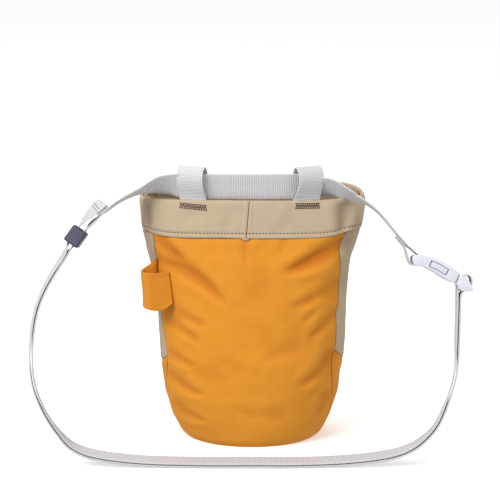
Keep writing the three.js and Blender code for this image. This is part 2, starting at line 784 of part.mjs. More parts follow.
// The belt: from its sewn end at the socket over the rim to the slider, round the hoop, over the bar of
// the plug, back round the hoop, through the slider again, and its hemmed tail
function beltStations() {
  const flat = (at) => {
    const standing = THREE.MathUtils.smoothstep(at.z, webbingWidth * 0.2, webbingWidth * 1.6);
    return { at, wide: new THREE.Vector3(0, -1, 0).lerp(hoopWide, standing) };
  };
  const ofBuckle = (row) => {
    const place = onBuckle(row).add(buckleCentre);
    return flat(onHoop(place.x, place.y));
  };
  const overRim = beltOverRim.map((row) => {
    const lean = THREE.MathUtils.degToRad(row.lean);
    const across = (row.across * rimWidth) / 2;
    const reach = (row.reach * rimDepth) / 2;
    return {
      at: new THREE.Vector3(across, reach, bodyHeight + row.rise * webbingWidth),
      wide: new THREE.Vector3(0, -Math.sin(lean), Math.cos(lean)),
    };
  });
  const lowest = (floorGap + webbingThickness / 2 + layerOffset) / Math.cos(hoopLean);
  const hoop = hoopRoute.map((row) => {
    const place = hoopPlace(row);
    place.y = Math.max(place.y, lowest);
    return place;
  });
  const layer = (side) =>
    hoop.map((place, i) => {
      const run = hoop[Math.min(i + 1, hoop.length - 1)].clone().sub(hoop[Math.max(i - 1, 0)]).normalize();
      const at = place.clone().addScaledVector(new THREE.Vector2(run.y, -run.x), side * layerOffset);
      return flat(onHoop(at.x, at.y));
    });
  const half = sliderLength / 2;
  const approach = sliderLength * 0.55;
  const tailTurn = new THREE.Vector3(0.39, -0.92, -0.06).normalize();
  const tail = (along, out, turned) => ({
    at: inSlider(-half - along, besideBar + out),
    wide: hoopWide.clone().lerp(tailTurn, turned),
  });
  const fold = webbingThickness / 2 + clearance / 2;
  return [
    ...socketWrap.map(ofBuckle),
    ...overRim,
    flat(inSlider(-half - approach, -besideBar - webbingThickness / 2)),
    flat(inSlider(-half, -besideBar)),
    flat(inSlider(0, -besideBar)),
    flat(inSlider(half, -besideBar + 0.5)),
    ...layer(-1),
    ...plugWrap.map(ofBuckle),
    ...layer(1).reverse(),
    flat(inSlider(half, besideBar - 0.5)),
    flat(inSlider(0, besideBar)),
    tail(0, -0.2, 0),
    tail(tailLength * 0.35, 0.1, 0.5),
    tail(tailLength * 0.7, -0.7, 0.95),
    tail(tailLength - fold, -1.4, 1),
    tail(tailLength, -1.4 - fold, 1),
    tail(tailLength - fold, -1.4 - 2 * fold, 1),
    tail(tailLength - hemLength, -0.8 - 2 * fold, 1),
  ];
}

function belt() {
  return webbing(beltStations(), 2);
}

const materials = {
  orange: new THREE.MeshStandardMaterial({ color: 0xe0912e, roughness: 0.85 }),
  beige: new THREE.MeshStandardMaterial({ color: 0xc3ae92, roughness: 0.85 }),
  fleece: new THREE.MeshStandardMaterial({ color: 0x7d6650, roughness: 1 }),
  webbing: new THREE.MeshStandardMaterial({ color: 0xc9c8c6, roughness: 0.8 }),
  buckle: new THREE.MeshStandardMaterial({ color: 0xe4e6ee, roughness: 0.45 }),
  slider: new THREE.MeshStandardMaterial({ color: 0x53525f, roughness: 0.5 }),
};

function named(name, geometry, material) {
  const mesh = new THREE.Mesh(geometry, material);
  mesh.name = name;
  return mesh;
}

const bag = new THREE.Group();
bag.add(
  named("base_panel", basePanel(), materials.orange),
  named("back_panel", backPanel(), materials.orange),
  named("front_panel", frontPanel(), materials.beige),
  named("boot_panel", bootPanel(), materials.orange),
  named("rim_band", slottedBand(), materials.beige),
  named("lining", lining(), materials.fleece),
  named("loop_left", beltLoop(-loopSpacing / 2), materials.webbing),
  named("loop_right", beltLoop(loopSpacing / 2), materials.webbing),
  named("brush_loop", brushLoop(), materials.orange),
  named("belt", belt(), materials.webbing),
);

// The slider and the buckle are drawn on the plane of the hoop
const hoop = new THREE.Group();
hoop.position.y = -hoopReach;
hoop.rotation.x = Math.PI / 2 - hoopLean;
const sliderMesh = named("slider", sliderBody(), materials.slider);
sliderMesh.position.set(sliderCentre.x, sliderCentre.y, 0);
sliderMesh.rotation.z = sliderTurn;
const socketMesh = named("buckle_socket", buckleSocket(), materials.buckle);
const plugMesh = named("buckle_plug", bucklePlug(), materials.buckle);
for (const mesh of [socketMesh, plugMesh]) mesh.position.set(buckleCentre.x, buckleCentre.y, 0);
hoop.add(sliderMesh, socketMesh, plugMesh);
bag.add(hoop);

export default bag;
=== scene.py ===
import math

import bpy
import numpy as np
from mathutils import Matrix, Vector, noise
from mathutils.bvhtree import BVHTree


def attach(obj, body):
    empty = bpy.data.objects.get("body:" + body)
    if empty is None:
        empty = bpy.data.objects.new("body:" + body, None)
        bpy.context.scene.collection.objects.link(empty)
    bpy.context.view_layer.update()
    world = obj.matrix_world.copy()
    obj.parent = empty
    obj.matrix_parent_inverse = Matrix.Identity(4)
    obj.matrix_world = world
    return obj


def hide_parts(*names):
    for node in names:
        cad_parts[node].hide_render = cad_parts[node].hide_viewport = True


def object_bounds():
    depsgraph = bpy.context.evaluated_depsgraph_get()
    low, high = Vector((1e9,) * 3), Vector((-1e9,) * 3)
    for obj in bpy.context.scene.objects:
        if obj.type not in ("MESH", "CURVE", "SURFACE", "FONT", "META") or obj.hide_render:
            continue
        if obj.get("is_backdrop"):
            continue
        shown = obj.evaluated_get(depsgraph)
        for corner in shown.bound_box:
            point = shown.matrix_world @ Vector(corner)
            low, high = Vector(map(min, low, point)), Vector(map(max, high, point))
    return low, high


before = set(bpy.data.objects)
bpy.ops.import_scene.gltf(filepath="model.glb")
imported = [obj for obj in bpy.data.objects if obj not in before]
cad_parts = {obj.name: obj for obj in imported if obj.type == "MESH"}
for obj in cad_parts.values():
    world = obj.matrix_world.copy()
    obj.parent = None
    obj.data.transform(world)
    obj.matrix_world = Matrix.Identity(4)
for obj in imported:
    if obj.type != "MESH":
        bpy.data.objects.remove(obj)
cad_box = [list(corner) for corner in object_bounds()]
bpy.ops.object.select_all(action="DESELECT")


# The photograph's set-up: a long lens that looks 11 degrees down at the side with the belt loops,
# a plain pale floor, and soft light from a large lamp at the upper left with weaker ones at the
# right and above.
camera_place, camera_tilt = (-0.00107, -1.79849, 0.48057), math.radians(79)
bpy.ops.object.camera_add(location=camera_place, rotation=(camera_tilt, 0, 0))
camera = bpy.context.object
camera.data.lens = 187.2
camera.data.sensor_width = 36
camera.data.clip_end = 30
bpy.context.scene.camera = camera
bpy.context.scene.view_settings.view_transform = "Standard"

bpy.ops.mesh.primitive_plane_add(size=14, location=(0, 3, 0))
floor = bpy.context.object
floor.name = "floor"
floor.data.materials.append(bpy.data.materials.new("floor_paper"))
floor.data.materials[0].use_nodes = True
paper = floor.data.materials[0].node_tree.nodes["Principled BSDF"]
paper.inputs["Base Color"].default_value = (0.93, 0.93, 0.93, 1)
paper.inputs["Roughness"].default_value = 0.9
paper.inputs["Specular IOR Level"].default_value = 0.1
paper.inputs["Emission Color"].default_value = (1, 1, 1, 1)
paper.inputs["Emission Strength"].default_value = 0.36
floor.visible_diffuse = False
floor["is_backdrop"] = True

world = bpy.data.worlds.new("studio")
bpy.context.scene.world = world
world.use_nodes = True
world.node_tree.nodes["Background"].inputs["Color"].default_value = (1, 1, 1, 1)
world.node_tree.nodes["Background"].inputs["Strength"].default_value = 0.6

# name, place, size and power of each lamp
lamps = (
    ("key", (-1.1, -1.4, 1.5), 1.1, 35),
    ("fill", (1.4, -1.5, 0.8), 1.0, 6),
    ("top", (0.0, 0.5, 1.6), 1.0, 6),
)
for lamp_name, place, size, power in lamps:
    aim = (Vector((0, 0, 0.09)) - Vector(place)).to_track_quat("-Z", "Y").to_euler()
    bpy.ops.object.light_add(type="AREA", location=place, rotation=aim)
    lamp = bpy.context.object
    lamp.name = lamp_name
    lamp.data.size = size
    lamp.data.energy = power
bpy.ops.object.select_all(action="DESELECT")


# The shell of the bag: cloth panels sewn edge to edge from the cuff down to the base. Its section
# grows from a round base over a full belly to a mouth that is flat towards the wearer.
body_height = 0.1746
base_diameter = 0.0926
belly_width, belly_depth = 0.1286, 0.1145
rim_width, rim_depth = 0.156, 0.096
rim_raise = 0.001
cuff_height = 0.026
cloth_thickness = 0.001

# height as a share of the body, then how much of the section follows the belly and the rim
outline = np.array(
    (
        (0, 0, 0),
        (0.012, 0.14, 0),
        (0.03, 0.27, 0),
        (0.055, 0.39, 0),
        (0.09, 0.54, 0),
        (0.19, 0.83, 0),
        (0.33, 1, 0),
        (0.54, 0.86, 0.14),
        (0.67, 0.735, 0.265),
        (0.745, 0.64, 0.36),
        (0.8, 0.385, 0.615),
        (0.85, 0.225, 0.775),
        (0.89, 0.08, 0.92),
        (1, 0, 1),
    )
)


def ease(value, low, high):
    t = np.clip((value - low) / (high - low), 0, 1)
    return t * t * (3 - 2 * t)


def bell(value, spread=1.0):
    """1 where the value is 0, falling smoothly to nothing past the spread on both sides."""
    return np.exp(-((value / spread) ** 2))


def soft_column(table, column, share, spread=0.012):
    """A column of a table at a height share, with the corners between its rows rounded off."""
    steps = np.linspace(-spread, spread, 5)
    levels, values = table[:, 0], table[:, column]
    return sum(np.interp(share + step, levels, values) for step in steps) / len(steps)


def section(share):
    belly = soft_column(outline, 1, share)
    rim = soft_column(outline, 2, share)
    base = 1 - belly - rim
    half_width = (base * base_diameter + belly * belly_width + rim * rim_width) / 2
    half_depth = (base * base_diameter + belly * belly_depth + rim * rim_depth) / 2
    widest = (-0.07 * belly - 0.42 * rim) * half_depth
    near_power = 2 * base + 2.3 * belly + 2.9 * rim
    far_power = 2 * base + 2.1 * belly + 2.45 * rim
    return half_width, half_depth, widest, near_power, far_power


def skin(angle, height):
    """Outer face of the bag, by its height and by the angle round it.

    The angle is 0 at the right and -90 degrees in the middle of the near side.
    """
    share = height / body_height
    half_width, half_depth, widest, near_power, far_power = section(share)
    cos, sin = np.cos(angle), np.sin(angle)
    power = 2 / np.where(sin < 0, near_power, far_power)
    depth = half_depth + np.where(sin < 0, widest, -widest)
    x = half_width * np.sign(cos) * np.abs(cos) ** power
    y = widest + depth * np.sign(sin) * np.abs(sin) ** power
    raised = rim_raise * ease(x / rim_width, 0.3, 0.45) * ease(share, 0.85, 1)
    return np.stack([x, y, height + raised], -1)


def skin_normal(angle, height):
    turn, rise = 0.01, 0.0004
    around = skin(angle + turn, height) - skin(angle - turn, height)
    up = skin(angle, height + rise) - skin(angle, height - rise)
    outward = np.cross(around, up)
    return outward / np.linalg.norm(outward, axis=-1, keepdims=True)


def angle_at(share, height):
    """Angle on the near side where the face is this share of the half width from the middle."""
    near_power = section(height / body_height)[3]
    turn = np.arccos(np.minimum(np.abs(share), 1) ** (near_power / 2))
    return np.where(np.asarray(share) < 0, turn - np.pi, -turn)


# Where the side seams of the back panel run: height share, then left and right as shares of the
# half width
side_seams = np.array(
    (
        (0, 0.985, 0.98),
        (0.07, 0.97, 0.975),
        (0.13, 0.965, 0.945),
        (0.2, 0.965, 0.93),
        (0.27, 0.95, 0.89),
        (0.33, 0.915, 0.88),
        (0.378, 0.92, 0.91),
        (0.425, 0.928, 0.9),
        (0.5, 0.95, 0.893),
        (0.555, 0.957, 0.897),
        (0.62, 0.95, 0.908),
        (0.69, 0.942, 0.9),
        (0.74, 0.936, 0.885),
        (0.79, 0.921, 0.846),
        (0.815, 0.905, 0.838),
        (0.86, 0.905, 0.87),
    )
)
boot_height, boot_dip, boot_rise = 0.0648, 0.013, 0.0055


def left_seam(height):
    return angle_at(-soft_column(side_seams, 1, height / body_height, 0.025), height)


def right_seam(height):
    return angle_at(soft_column(side_seams, 2, height / body_height, 0.025), height)


def boot_seam(angle):
    """Height of the boot's upper seam: high at the back panel, and lower in front."""
    from_far = np.abs(np.mod(angle + np.pi / 2, 2 * np.pi) - np.pi)
    side = np.degrees(np.mod(angle + np.pi, 2 * np.pi) - np.pi)
    at_right = boot_rise * bell(side + 40, 26)
    in_front = ease(np.pi - from_far, np.pi * 0.25, np.pi * 0.55)
    return boot_height + at_right - boot_dip * in_front


# Creases of the near side in millimetres, from the point where one dies out to the wide end at a
# seam: x and z of both ends, bow to the side, depth, and width at the wide end
near_creases = (
    (23, 126, 60, 143, -1.5, 3.4, 7),
    (27, 101, 58, 113, -1, 1.5, 5.5),
    (33, 88, 57, 104, 1, 0.8, 4),
    (40, 78, 57, 94, -1, 1.6, 5),
    (33, 45, 56, 63, -2, 2.2, 6.5),
    (40, 35, 55, 48, 1, 0.7, 4),
    (44, 18, 52, 34, -1, 1.3, 4.5),
    (-46, 133, -62, 146, 1, 2.2, 5.5),
    (-17, 103, -54, 130, -3, 2.3, 6),
    (-31, 88, -56, 99, 1.5, 1.3, 5),
    (-35, 74, -56, 88, -1, 1.4, 4.5),
    (-39, 59, -55, 64, 1, 1.1, 4.5),
    (-33, 38, -55, 48, 1.5, 1.5, 5),
    (-31, 18, -51, 25, 1, 1.2, 4.5),
    (-4, 130, -4, 150, 0.5, 0.6, 3.5),
    (20, 138, 24, 150, 0.5, 0.4, 4),
    (-24, 138, -27, 150, -0.5, 0.3, 4),
    (5, 60, 30, 72, 2, 0.5, 6),
    (-22, 66, 2, 56, -2, 0.45, 6),
    (-10, 30, 14, 24, -2, 0.5, 6),
)

# The same for the far side, which the photograph does not show
far_creases = (
    (20, 120, 66, 134, 1, 2, 7),
    (-24, 116, -66, 132, -1, 2, 7),
    (16, 96, 62, 106, 2, 1.1, 6),
    (-12, 86, -60, 98, -1, 1.2, 6),
    (30, 36, 56, 46, -1, 1.3, 5),
    (-28, 34, -56, 44, 1, 1.2, 5),
    (0, 128, 2, 148, 0.5, 0.9, 4),
    (-30, 134, -34, 148, 0.5, 0.7, 4),
    (34, 136, 38, 148, 0.5, 0.7, 4),
    (-20, 66, 16, 72, 3, 0.6, 7),
)


# Where the stuffed shape stands out at its sides: angle, height, spread of both, and how far out
full_places = (
    (-176, 130, 16, 9, 2.3),
    (-6, 72, 20, 20, 1.1),
    (-40, 5, 30, 5, 0.8),
)


def creased(x, z, creases):
    """How far these creases move the cloth outwards, at places given across and up."""
    moved = np.zeros_like(x)
    for x1, z1, x2, z2, bow, depth, width in np.array(creases) / 1000:
        run = np.array((x2 - x1, z2 - z1))
        length = np.hypot(*run)
        run /= length
        along = ((x - x1) * run[0] + (z - z1) * run[1]) / length
        inside = np.clip(along, 0, 1)
        off = (z - z1) * run[0] - (x - x1) * run[1] - bow * 4 * inside * (1 - inside)
        fade = ease(along, -0.12, 0.35) * ease(-along, -1.4, -1.0)
        q = off / (width * (0.45 + 0.55 * inside))
        ridges = bell(q - 1.8) + bell(q + 1.8)
        moved += depth * fade * (0.38 * ridges - bell(q))
    return moved


def waves(places, size, seed):
    """Smooth random values, from about -1 to 1, at these places."""
    flat = places.reshape(-1, 3) / size + seed * 7.3
    return np.array([noise.noise(Vector(p)) for p in flat]).reshape(places.shape[:-1]) * 1.6


def turn_in_degrees(angle):
    """The angle from -270 to 90 degrees, which leaves the left side in one piece."""
    return np.degrees(np.mod(angle + np.pi * 1.5, 2 * np.pi) - np.pi * 1.5)


def slack(angle, height, places):
    """How the loose cloth moves outwards: creases near and far, and small waves all over."""
    sin = np.sin(angle)
    facing = np.sqrt(np.abs(sin))
    x, z = places[..., 0], places[..., 2]
    moved = creased(x, z, near_creases) * facing * (sin < 0)
    moved += creased(x, z, far_creases) * facing * (sin >= 0)
    turn = turn_in_degrees(angle)
    for middle, level, spread, rise, out in full_places:
        moved += out / 1000 * bell(turn - middle, spread) * bell(z * 1000 - level, rise)
    small = 0.00042 * waves(places, 0.024, 1) + 0.0002 * waves(places, 0.009, 2)
    return (moved + small) * ease(height, 0.001, 0.012)


def seam_dip(distance):
    """The cloth beside a seam: turned in at the edge, and slightly puffed a little further on."""
    d = distance * 1000
    turned_in = 0.4 * bell(d, 0.7) + 0.15 * np.exp(-d / 2.5)
    puffed = 0.22 * bell(d - 4.5, 2.6)
    return (puffed - turned_in) / 1000


def puckers(distance, run, seed):
    """Short waves that the thread draws up along a seam."""
    d, along = distance * 1000, run * 1000
    short = np.sin(along / 1.15 + 2.2 * np.sin(along / 6.3 + seed))
    long = np.sin(along / 2.9 + seed * 2)
    return 0.00011 * (0.6 * short + 0.7 * long) * np.exp(-d / 3.2) * (d > 0.1)


def open_grid(name, columns, rows):
    """A flat grid of faces, with the share of each vertex along both ways, from 0 to 1."""
    bpy.ops.object.select_all(action="DESELECT")
    bpy.ops.mesh.primitive_grid_add(x_subdivisions=columns, y_subdivisions=rows, size=1)
    sheet = bpy.context.object
    sheet.name = name
    places = np.zeros(len(sheet.data.vertices) * 3)
    sheet.data.vertices.foreach_get("co", places)
    shares = places.reshape(-1, 3)[:, :2] + 0.5
    wide = len(np.unique(shares[:, 0].round(5)))
    shares = shares.reshape(-1, wide, 2)
    return sheet, shares[..., 0], shares[..., 1]


def place_vertices(piece, places):
    piece.data.vertices.foreach_set("co", np.ascontiguousarray(places, dtype=float).ravel())
    piece.data.update()


def lay_flat(piece, flat):
    """Gives the cloth its own flat pattern in metres, as the UV map that its weave follows."""
    flat = flat.reshape(-1, 2)
    corners = np.zeros(len(piece.data.loops), dtype=int)
    piece.data.loops.foreach_get("vertex_index", corners)
    layer = piece.data.uv_layers[0] if piece.data.uv_layers else piece.data.uv_layers.new()
    layer.name = "cloth"
    layer.data.foreach_set("uv", flat[corners].ravel().astype(float))


def keep_painted_shade(piece, hollow):
    """Keeps how deep each vertex lies in a fold or a seam, as painted shade that darkens the
    cloth's colour there.
    """
    layer = piece.data.attributes.new("hollow", "FLOAT", "POINT")
    layer.data.foreach_set("value", np.clip(hollow, 0, 1).ravel().astype(np.float32))


def steps_along(places, axis):
    """Distance run along a grid of places, from 0 at its first row or column."""
    steps = np.linalg.norm(np.diff(places, axis=axis), axis=-1)
    start = np.zeros_like(np.take(steps, [0], axis=axis))
    return np.concatenate([start, np.cumsum(steps, axis=axis)], axis=axis)


def pick(piece):
    """Selects this piece alone, for the operators that follow."""
    bpy.ops.object.select_all(action="DESELECT")
    piece.select_set(True)
    bpy.context.view_layer.objects.active = piece


def tidy(piece, angle=50, away_from=None):
    """Merges doubles, points the faces outwards, or away from a place, and shades them smooth."""
    pick(piece)
    bpy.ops.object.mode_set(mode="EDIT")
    bpy.ops.mesh.select_all(action="SELECT")
    bpy.ops.mesh.remove_doubles(threshold=0.000005)
    bpy.ops.mesh.normals_make_consistent(inside=False)
    bpy.ops.object.mode_set(mode="OBJECT")
    if away_from is not None:
        middle = Vector(away_from)
        faces = piece.data.polygons
        if sum(face.normal.dot(face.center - middle) * face.area for face in faces) < 0:
            piece.data.flip_normals()
    bpy.ops.object.shade_smooth_by_angle(angle=math.radians(angle))
    return piece


def thicken(piece, wall):
    """Gives a sheet its thickness on the inner side."""
    pick(piece)
    solid = piece.modifiers.new("wall", "SOLIDIFY")
    solid.thickness = wall
    solid.offset = -1
    bpy.ops.object.modifier_apply(modifier=solid.name)


def crowd(share, pull):
    """Brings the rows of a grid closer together towards both of its edges."""
    return share - pull * np.sin(2 * np.pi * share) / (2 * np.pi)


def sewn_panel(name, from_angle, to_angle, bottom, top, columns, rows, seed):
    """A cloth panel between two seams at its sides and two above and below."""
    piece, across, up = open_grid(name, columns, rows)
    across, up = crowd(across, 0.55), crowd(up, 0.5)
    height = bottom(0) + (top(0) - bottom(0)) * up
    dense = np.linspace(0, 1, 500)
    for _ in range(3):
        level = height.mean(1)[:, None]
        turns = from_angle(level) + (to_angle(level) - from_angle(level)) * dense
        line = steps_along(skin(turns, level + 0 * turns), 1)
        even = np.array([np.interp(a * run[-1], run, dense) for a, run in zip(across, line)])
        angle = from_angle(height) + (to_angle(height) - from_angle(height)) * even
        height = bottom(angle) + (top(angle) - bottom(angle)) * up
    places = skin(angle, height)
    run, rise = steps_along(places, 1), steps_along(places, 0)
    out = slack(angle, height, places)
    # painted shade: the cloth darkens the deeper it lies in a crease valley
    hollow = 0.6 * np.clip(-out / 0.0022, 0, 1) ** 0.8
    sides = ((run, rise), (run[:, -1:] - run, rise), (rise, run), (rise[-1:] - rise, run))
    for edge, along in sides:
        out += seam_dip(edge) + puckers(edge, along, seed)
        # painted shade in a narrow band beside each seam
        beside = edge * 1000
        hollow = np.maximum(hollow, 0.22 * bell(beside, 0.6) + 0.06 * np.exp(-beside / 4))
    places = places + skin_normal(angle, height) * out[..., None]
    place_vertices(piece, places)
    lay_flat(piece, np.stack([run - run.mean(), rise], -1))
    keep_painted_shade(piece, hollow)
    tidy(piece, away_from=(0, 0, 0.09))
    thicken(piece, cloth_thickness)
    return piece


# Cloth of the shell: a firm plain-weave canvas in orange and in beige, with uneven threads, a faint
# sheen, and painted shade that darkens it in its creases and beside its seams.
def colour(code):
    """The linear colour for a web colour code."""
    parts = [int(code[i : i + 2], 16) / 255 for i in (0, 2, 4)]
    return tuple(p / 12.92 if p <= 0.04045 else ((p + 0.055) / 1.055) ** 2.4 for p in parts) + (1,)


class Field:
    """A value in a material's nodes, so that patterns are written as sums and products."""

    def __init__(self, tree, socket=None):
        self.tree = tree
        self.socket = socket

    def node(self, kind, settings=(), sockets=(), out=0):
        """Adds a node, sets it up, and fills its sockets with values or links."""
        made = self.tree.nodes.new(kind)
        for name, value in dict(settings).items():
            if name == "stops":
                ramp = made.color_ramp.elements
                while len(ramp) < len(value):
                    ramp.new(0.5)
                for stop, (position, tint) in zip(ramp, value):
                    stop.position = position
                    stop.color = tint
            else:
                setattr(made, name, value)
        for key, value in dict(sockets).items():
            if isinstance(value, Field):
                self.tree.links.new(value.socket, made.inputs[key])
            else:
                made.inputs[key].default_value = value
        return Field(self.tree, made.outputs[out])

    def math(self, operation, *others):
        """This value, with others where the operation takes them, through a Math node."""
        return self.node("ShaderNodeMath", {"operation": operation}, enumerate((self, *others)))

    def __add__(self, other):
        return self.math("ADD", other)

    __radd__ = __add__

    def __sub__(self, other):
        return self.math("SUBTRACT", other)

    def __rsub__(self, other):
        return self * -1 + other

    def __mul__(self, other):
        return self.math("MULTIPLY", other)

    __rmul__ = __mul__

    def __truediv__(self, other):
        return self.math("DIVIDE", other)

    def __pow__(self, other):
        return self.math("POWER", other)

    def clamped(self):
        return self.node("ShaderNodeClamp", (), {"Value": self})

    def mix(self, low, high):
        """Colour low where this is 0 and high where it is 1."""
        factor, first, second, colour_out = 0, 6, 7, 2
        sockets = {factor: self, first: low, second: high}
        return self.node("ShaderNodeMix", {"data_type": "RGBA"}, sockets, colour_out)


def finish(name, roughness, sheen=0.0, sheen_tint=(1, 1, 1, 1), coat=0.0):
    """A new material, as the start of its node tree and its shader node."""
    material = bpy.data.materials.new(name)
    material.use_nodes = True
    tree = material.node_tree
    shader = tree.nodes["Principled BSDF"]
    shader.inputs["Roughness"].default_value = roughness
    shader.inputs["Sheen Weight"].default_value = sheen
    shader.inputs["Sheen Roughness"].default_value = 0.4
    shader.inputs["Sheen Tint"].default_value = sheen_tint
    shader.inputs["Coat Weight"].default_value = coat
    return material, Field(tree), shader


def wire(shader, **sockets):
    for name, value in sockets.items():
        value.tree.links.new(value.socket, shader.inputs[name.replace("_", " ")])


def emboss(shader, height, strength, distance):
    """Raises the finish by a field of heights, as far as the distance in metres."""
    sockets = {"Strength": strength, "Distance": distance, "Height": height}
    wire(shader, Normal=height.node("ShaderNodeBump", (), sockets))


def mottle(places, scale, detail, dimensions="3D"):
    """Smooth noise over places, in patches of about 1 / scale metres."""
    sockets = {"Vector": places, "Scale": scale, "Detail": detail}
    return places.node("ShaderNodeTexNoise", {"noise_dimensions": dimensions}, sockets)


def cloth_places(start):
    """The flat pattern of the cloth as two fields in millimetres, and as one vector in metres."""
    flat = start.node("ShaderNodeUVMap", {"uv_map": "cloth"})
    across = start.node("ShaderNodeSeparateXYZ", (), {0: flat}, 0)
    along = start.node("ShaderNodeSeparateXYZ", (), {0: flat}, 1)
    return across * 1000, along * 1000, flat


def threads(flat, across_scale, along_scale, detail=2.0):
    """Uneven threads: noise drawn out much further one way than the other."""
    scale = (across_scale, along_scale, 1)
    drawn = flat.node("ShaderNodeMapping", (), {"Vector": flat, "Scale": scale})
    return mottle(drawn, 1.0, detail, "2D")


def canvas(name, light, deep, folded, pitch=0.62):
    """Plain-weave canvas: threads over and under each other, pitch millimetres apart. The folded
    colour is painted shade, mixed in where folds and seams lie.
    """
    material, start, shader = finish(name, 0.82)
    shader.inputs["Specular IOR Level"].default_value = 0.25
    across, along, flat = cloth_places(start)
    warp, weft = ((way * (math.pi / pitch)).math("SINE") for way in (across, along))
    weave = warp * weft
    uneven = threads(flat, 1500, 60) + threads(flat, 60, 1500)
    patches = mottle(flat, 28.0, 3.0, "2D")
    tone = (0.16 + 0.52 * uneven + 0.24 * patches - 0.14 * weave).clamped()
    # painted shade: the colour turns to the folded colour in creases and beside seams
    hollow = start.node("ShaderNodeAttribute", {"attribute_name": "hollow"}, (), 2)
    wire(shader, Base_Color=hollow.mix(tone.mix(deep, light), folded))
    wire(shader, Roughness=0.74 + 0.14 * patches)
    emboss(shader, 0.5 + 0.5 * weave + 0.55 * uneven, 0.55, 0.00012)
    return material


# The third colour of each canvas is its painted shade for creases and seams
orange_canvas = canvas("orange_canvas", colour("E0942C"), colour("D2821E"), colour("B55E08"))
beige_canvas = canvas("beige_canvas", colour("C2AF93"), colour("B09C80"), colour("7E6A53"))

# Back panel: one piece of orange canvas from the cuff down to the base, sewn in at both sides. It
# is the largest piece that the photograph shows.
seam_gap = 0.0005
panel_top = body_height - cuff_height - 0.0001


def cuff_lift(angle):
    """How far the cuff's lower edge rises towards the corners of the mouth."""
    turn = np.degrees(np.mod(np.asarray(angle) + np.pi / 2, 2 * np.pi))
    right = ease(turn, 30, 66) * (1 - ease(turn, 105, 160))
    left = (1 - ease(turn, 285, 320)) * ease(turn, 200, 255)
    return 0.0034 * right + 0.002 * left


def cuff_line(angle):
    return panel_top + cuff_lift(angle)


def base_line(angle):
    return 0.0003 + 0 * np.asarray(angle)


back_panel = sewn_panel(
    "back_panel_cloth", left_seam, right_seam, base_line, cuff_line, columns=176, rows=168, seed=1
)
back_panel.data.materials.append(orange_canvas)
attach(back_panel, "root")
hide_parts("back_panel")


# Front panel, beige, one piece from side seam to side seam, and the orange boot below it, which
# is sewn to the front panel, the back panel and the base.
def right_start(height):
    return right_seam(height) + seam_gap * 2 / belly_width


def left_end(height):
    return left_seam(height) + 2 * np.pi - seam_gap * 2 / belly_width


def above_boot(angle):
    return boot_seam(angle) + 0.0003


front_panel = sewn_panel(
    "front_panel_cloth", right_start, left_end, above_boot, cuff_line, columns=250, rows=100, seed=2
)
front_panel.data.materials.append(beige_canvas)
boot_panel = sewn_panel(
    "boot_panel_cloth", right_start, left_end, base_line, boot_seam, columns=250, rows=72, seed=3
)
boot_panel.data.materials.append(orange_canvas)
panels = (
    (front_panel, "front_panel", "beige_fabric"),
    (boot_panel, "boot_panel", "orange_fabric"),
)
for piece, node, slot in panels:
    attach(piece, "root")
    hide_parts(node)

# Base: a round of the same orange canvas, sewn inside the lower edge of the panels. It bulges up a
# little in the middle, so the bag stands on its rim.
base_cloth, across, up = open_grid("base_cloth", 72, 40)
turn, reach = across * 2 * np.pi, np.sin(up * np.pi / 2)
radius = (base_diameter / 2 + 0.0002) * reach
crown = 0.0011 * (1 - reach**2) + 0.0001
round_places = np.stack([radius * np.cos(turn), radius * np.sin(turn), crown], -1)
round_places[..., 2] += 0.00025 * waves(round_places, 0.012, 5) * (1 - reach**6)
round_places[..., 2] = np.maximum(round_places[..., 2], 0.0001)
place_vertices(base_cloth, round_places)
lay_flat(base_cloth, round_places[..., :2])
tidy(base_cloth, away_from=(0, 0, 0.09))
thicken(base_cloth, cloth_thickness)
base_cloth.data.materials.append(orange_canvas)
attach(base_cloth, "root")
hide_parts("base_panel")


# Cuff: a folded band of beige canvas round the mouth. Its ends meet in a seam in the middle of the
# near side, and a brown line of stitches holds it to the panels just above its lower edge.
cuff_bottom = body_height - cuff_height
stitch_line = cuff_bottom + 0.0034
cuff_seam_x = -0.0014
cuff_seam_slant = 0.088
cuff_pucker_pitch = 0.00235

# Section of the cuff in millimetres: how far inside the skin, and height above the lower edge
cuff_profile = np.array(
    (
        (1.5, 0.75),
        (0.7, 0.1),
        (0.05, -0.05),
        (-0.45, 0.2),
        (-0.7, 0.9),
        (-0.65, 2.1),
        (-0.35, 2.95),
        (0.02, 3.4),
        (-0.3, 3.85),
        (-0.62, 4.8),
        (-0.7, 7),
        (-0.62, 12),
        (-0.5, 18),
        (-0.38, 22.5),
        (-0.15, 24.6),
        (0.25, 25.6),
        (0.85, 26.1),
        (1.55, 26.0),
        (2.15, 25.3),
        (2.45, 23.8),
        (2.55, 19),
        (2.6, 10),
        (2.4, 2.2),
    )
)


def smooth_line(points, per_step, closed=False):
    """A smooth line through the points, with equally many places between each two of them."""
    points = np.asarray(points, float)
    if closed:
        rows = np.concatenate([points[-1:], points, points[:2]])
    else:
        before, after = 2 * points[0] - points[1], 2 * points[-1] - points[-2]
        rows = np.concatenate([[before], points, [after]])
    p0, p1, p2, p3 = rows[:-3], rows[1:-2], rows[2:-1], rows[3:]
    pairs = ((p0, p1), (p1, p2), (p2, p3))
    d0, d1, d2 = (np.linalg.norm(b - a, axis=1, keepdims=True) ** 0.5 for a, b in pairs)
    start = ((p1 - p0) / d0 - (p2 - p0) / (d0 + d1) + (p2 - p1) / d1) * d1
    end = ((p2 - p1) / d1 - (p3 - p1) / (d1 + d2) + (p3 - p2) / d2) * d1
    t = (np.arange(per_step) / per_step)[None, :, None]
    p1, p2, start, end = (a[:, None] for a in (p1, p2, start, end))
    line = p1 + start * t
    line = line + (3 * (p2 - p1) - 2 * start - end) * t**2 + (2 * (p1 - p2) + start + end) * t**3
    line = line.reshape(-1, points.shape[1])
    return line if closed else np.concatenate([line, points[-1:]])


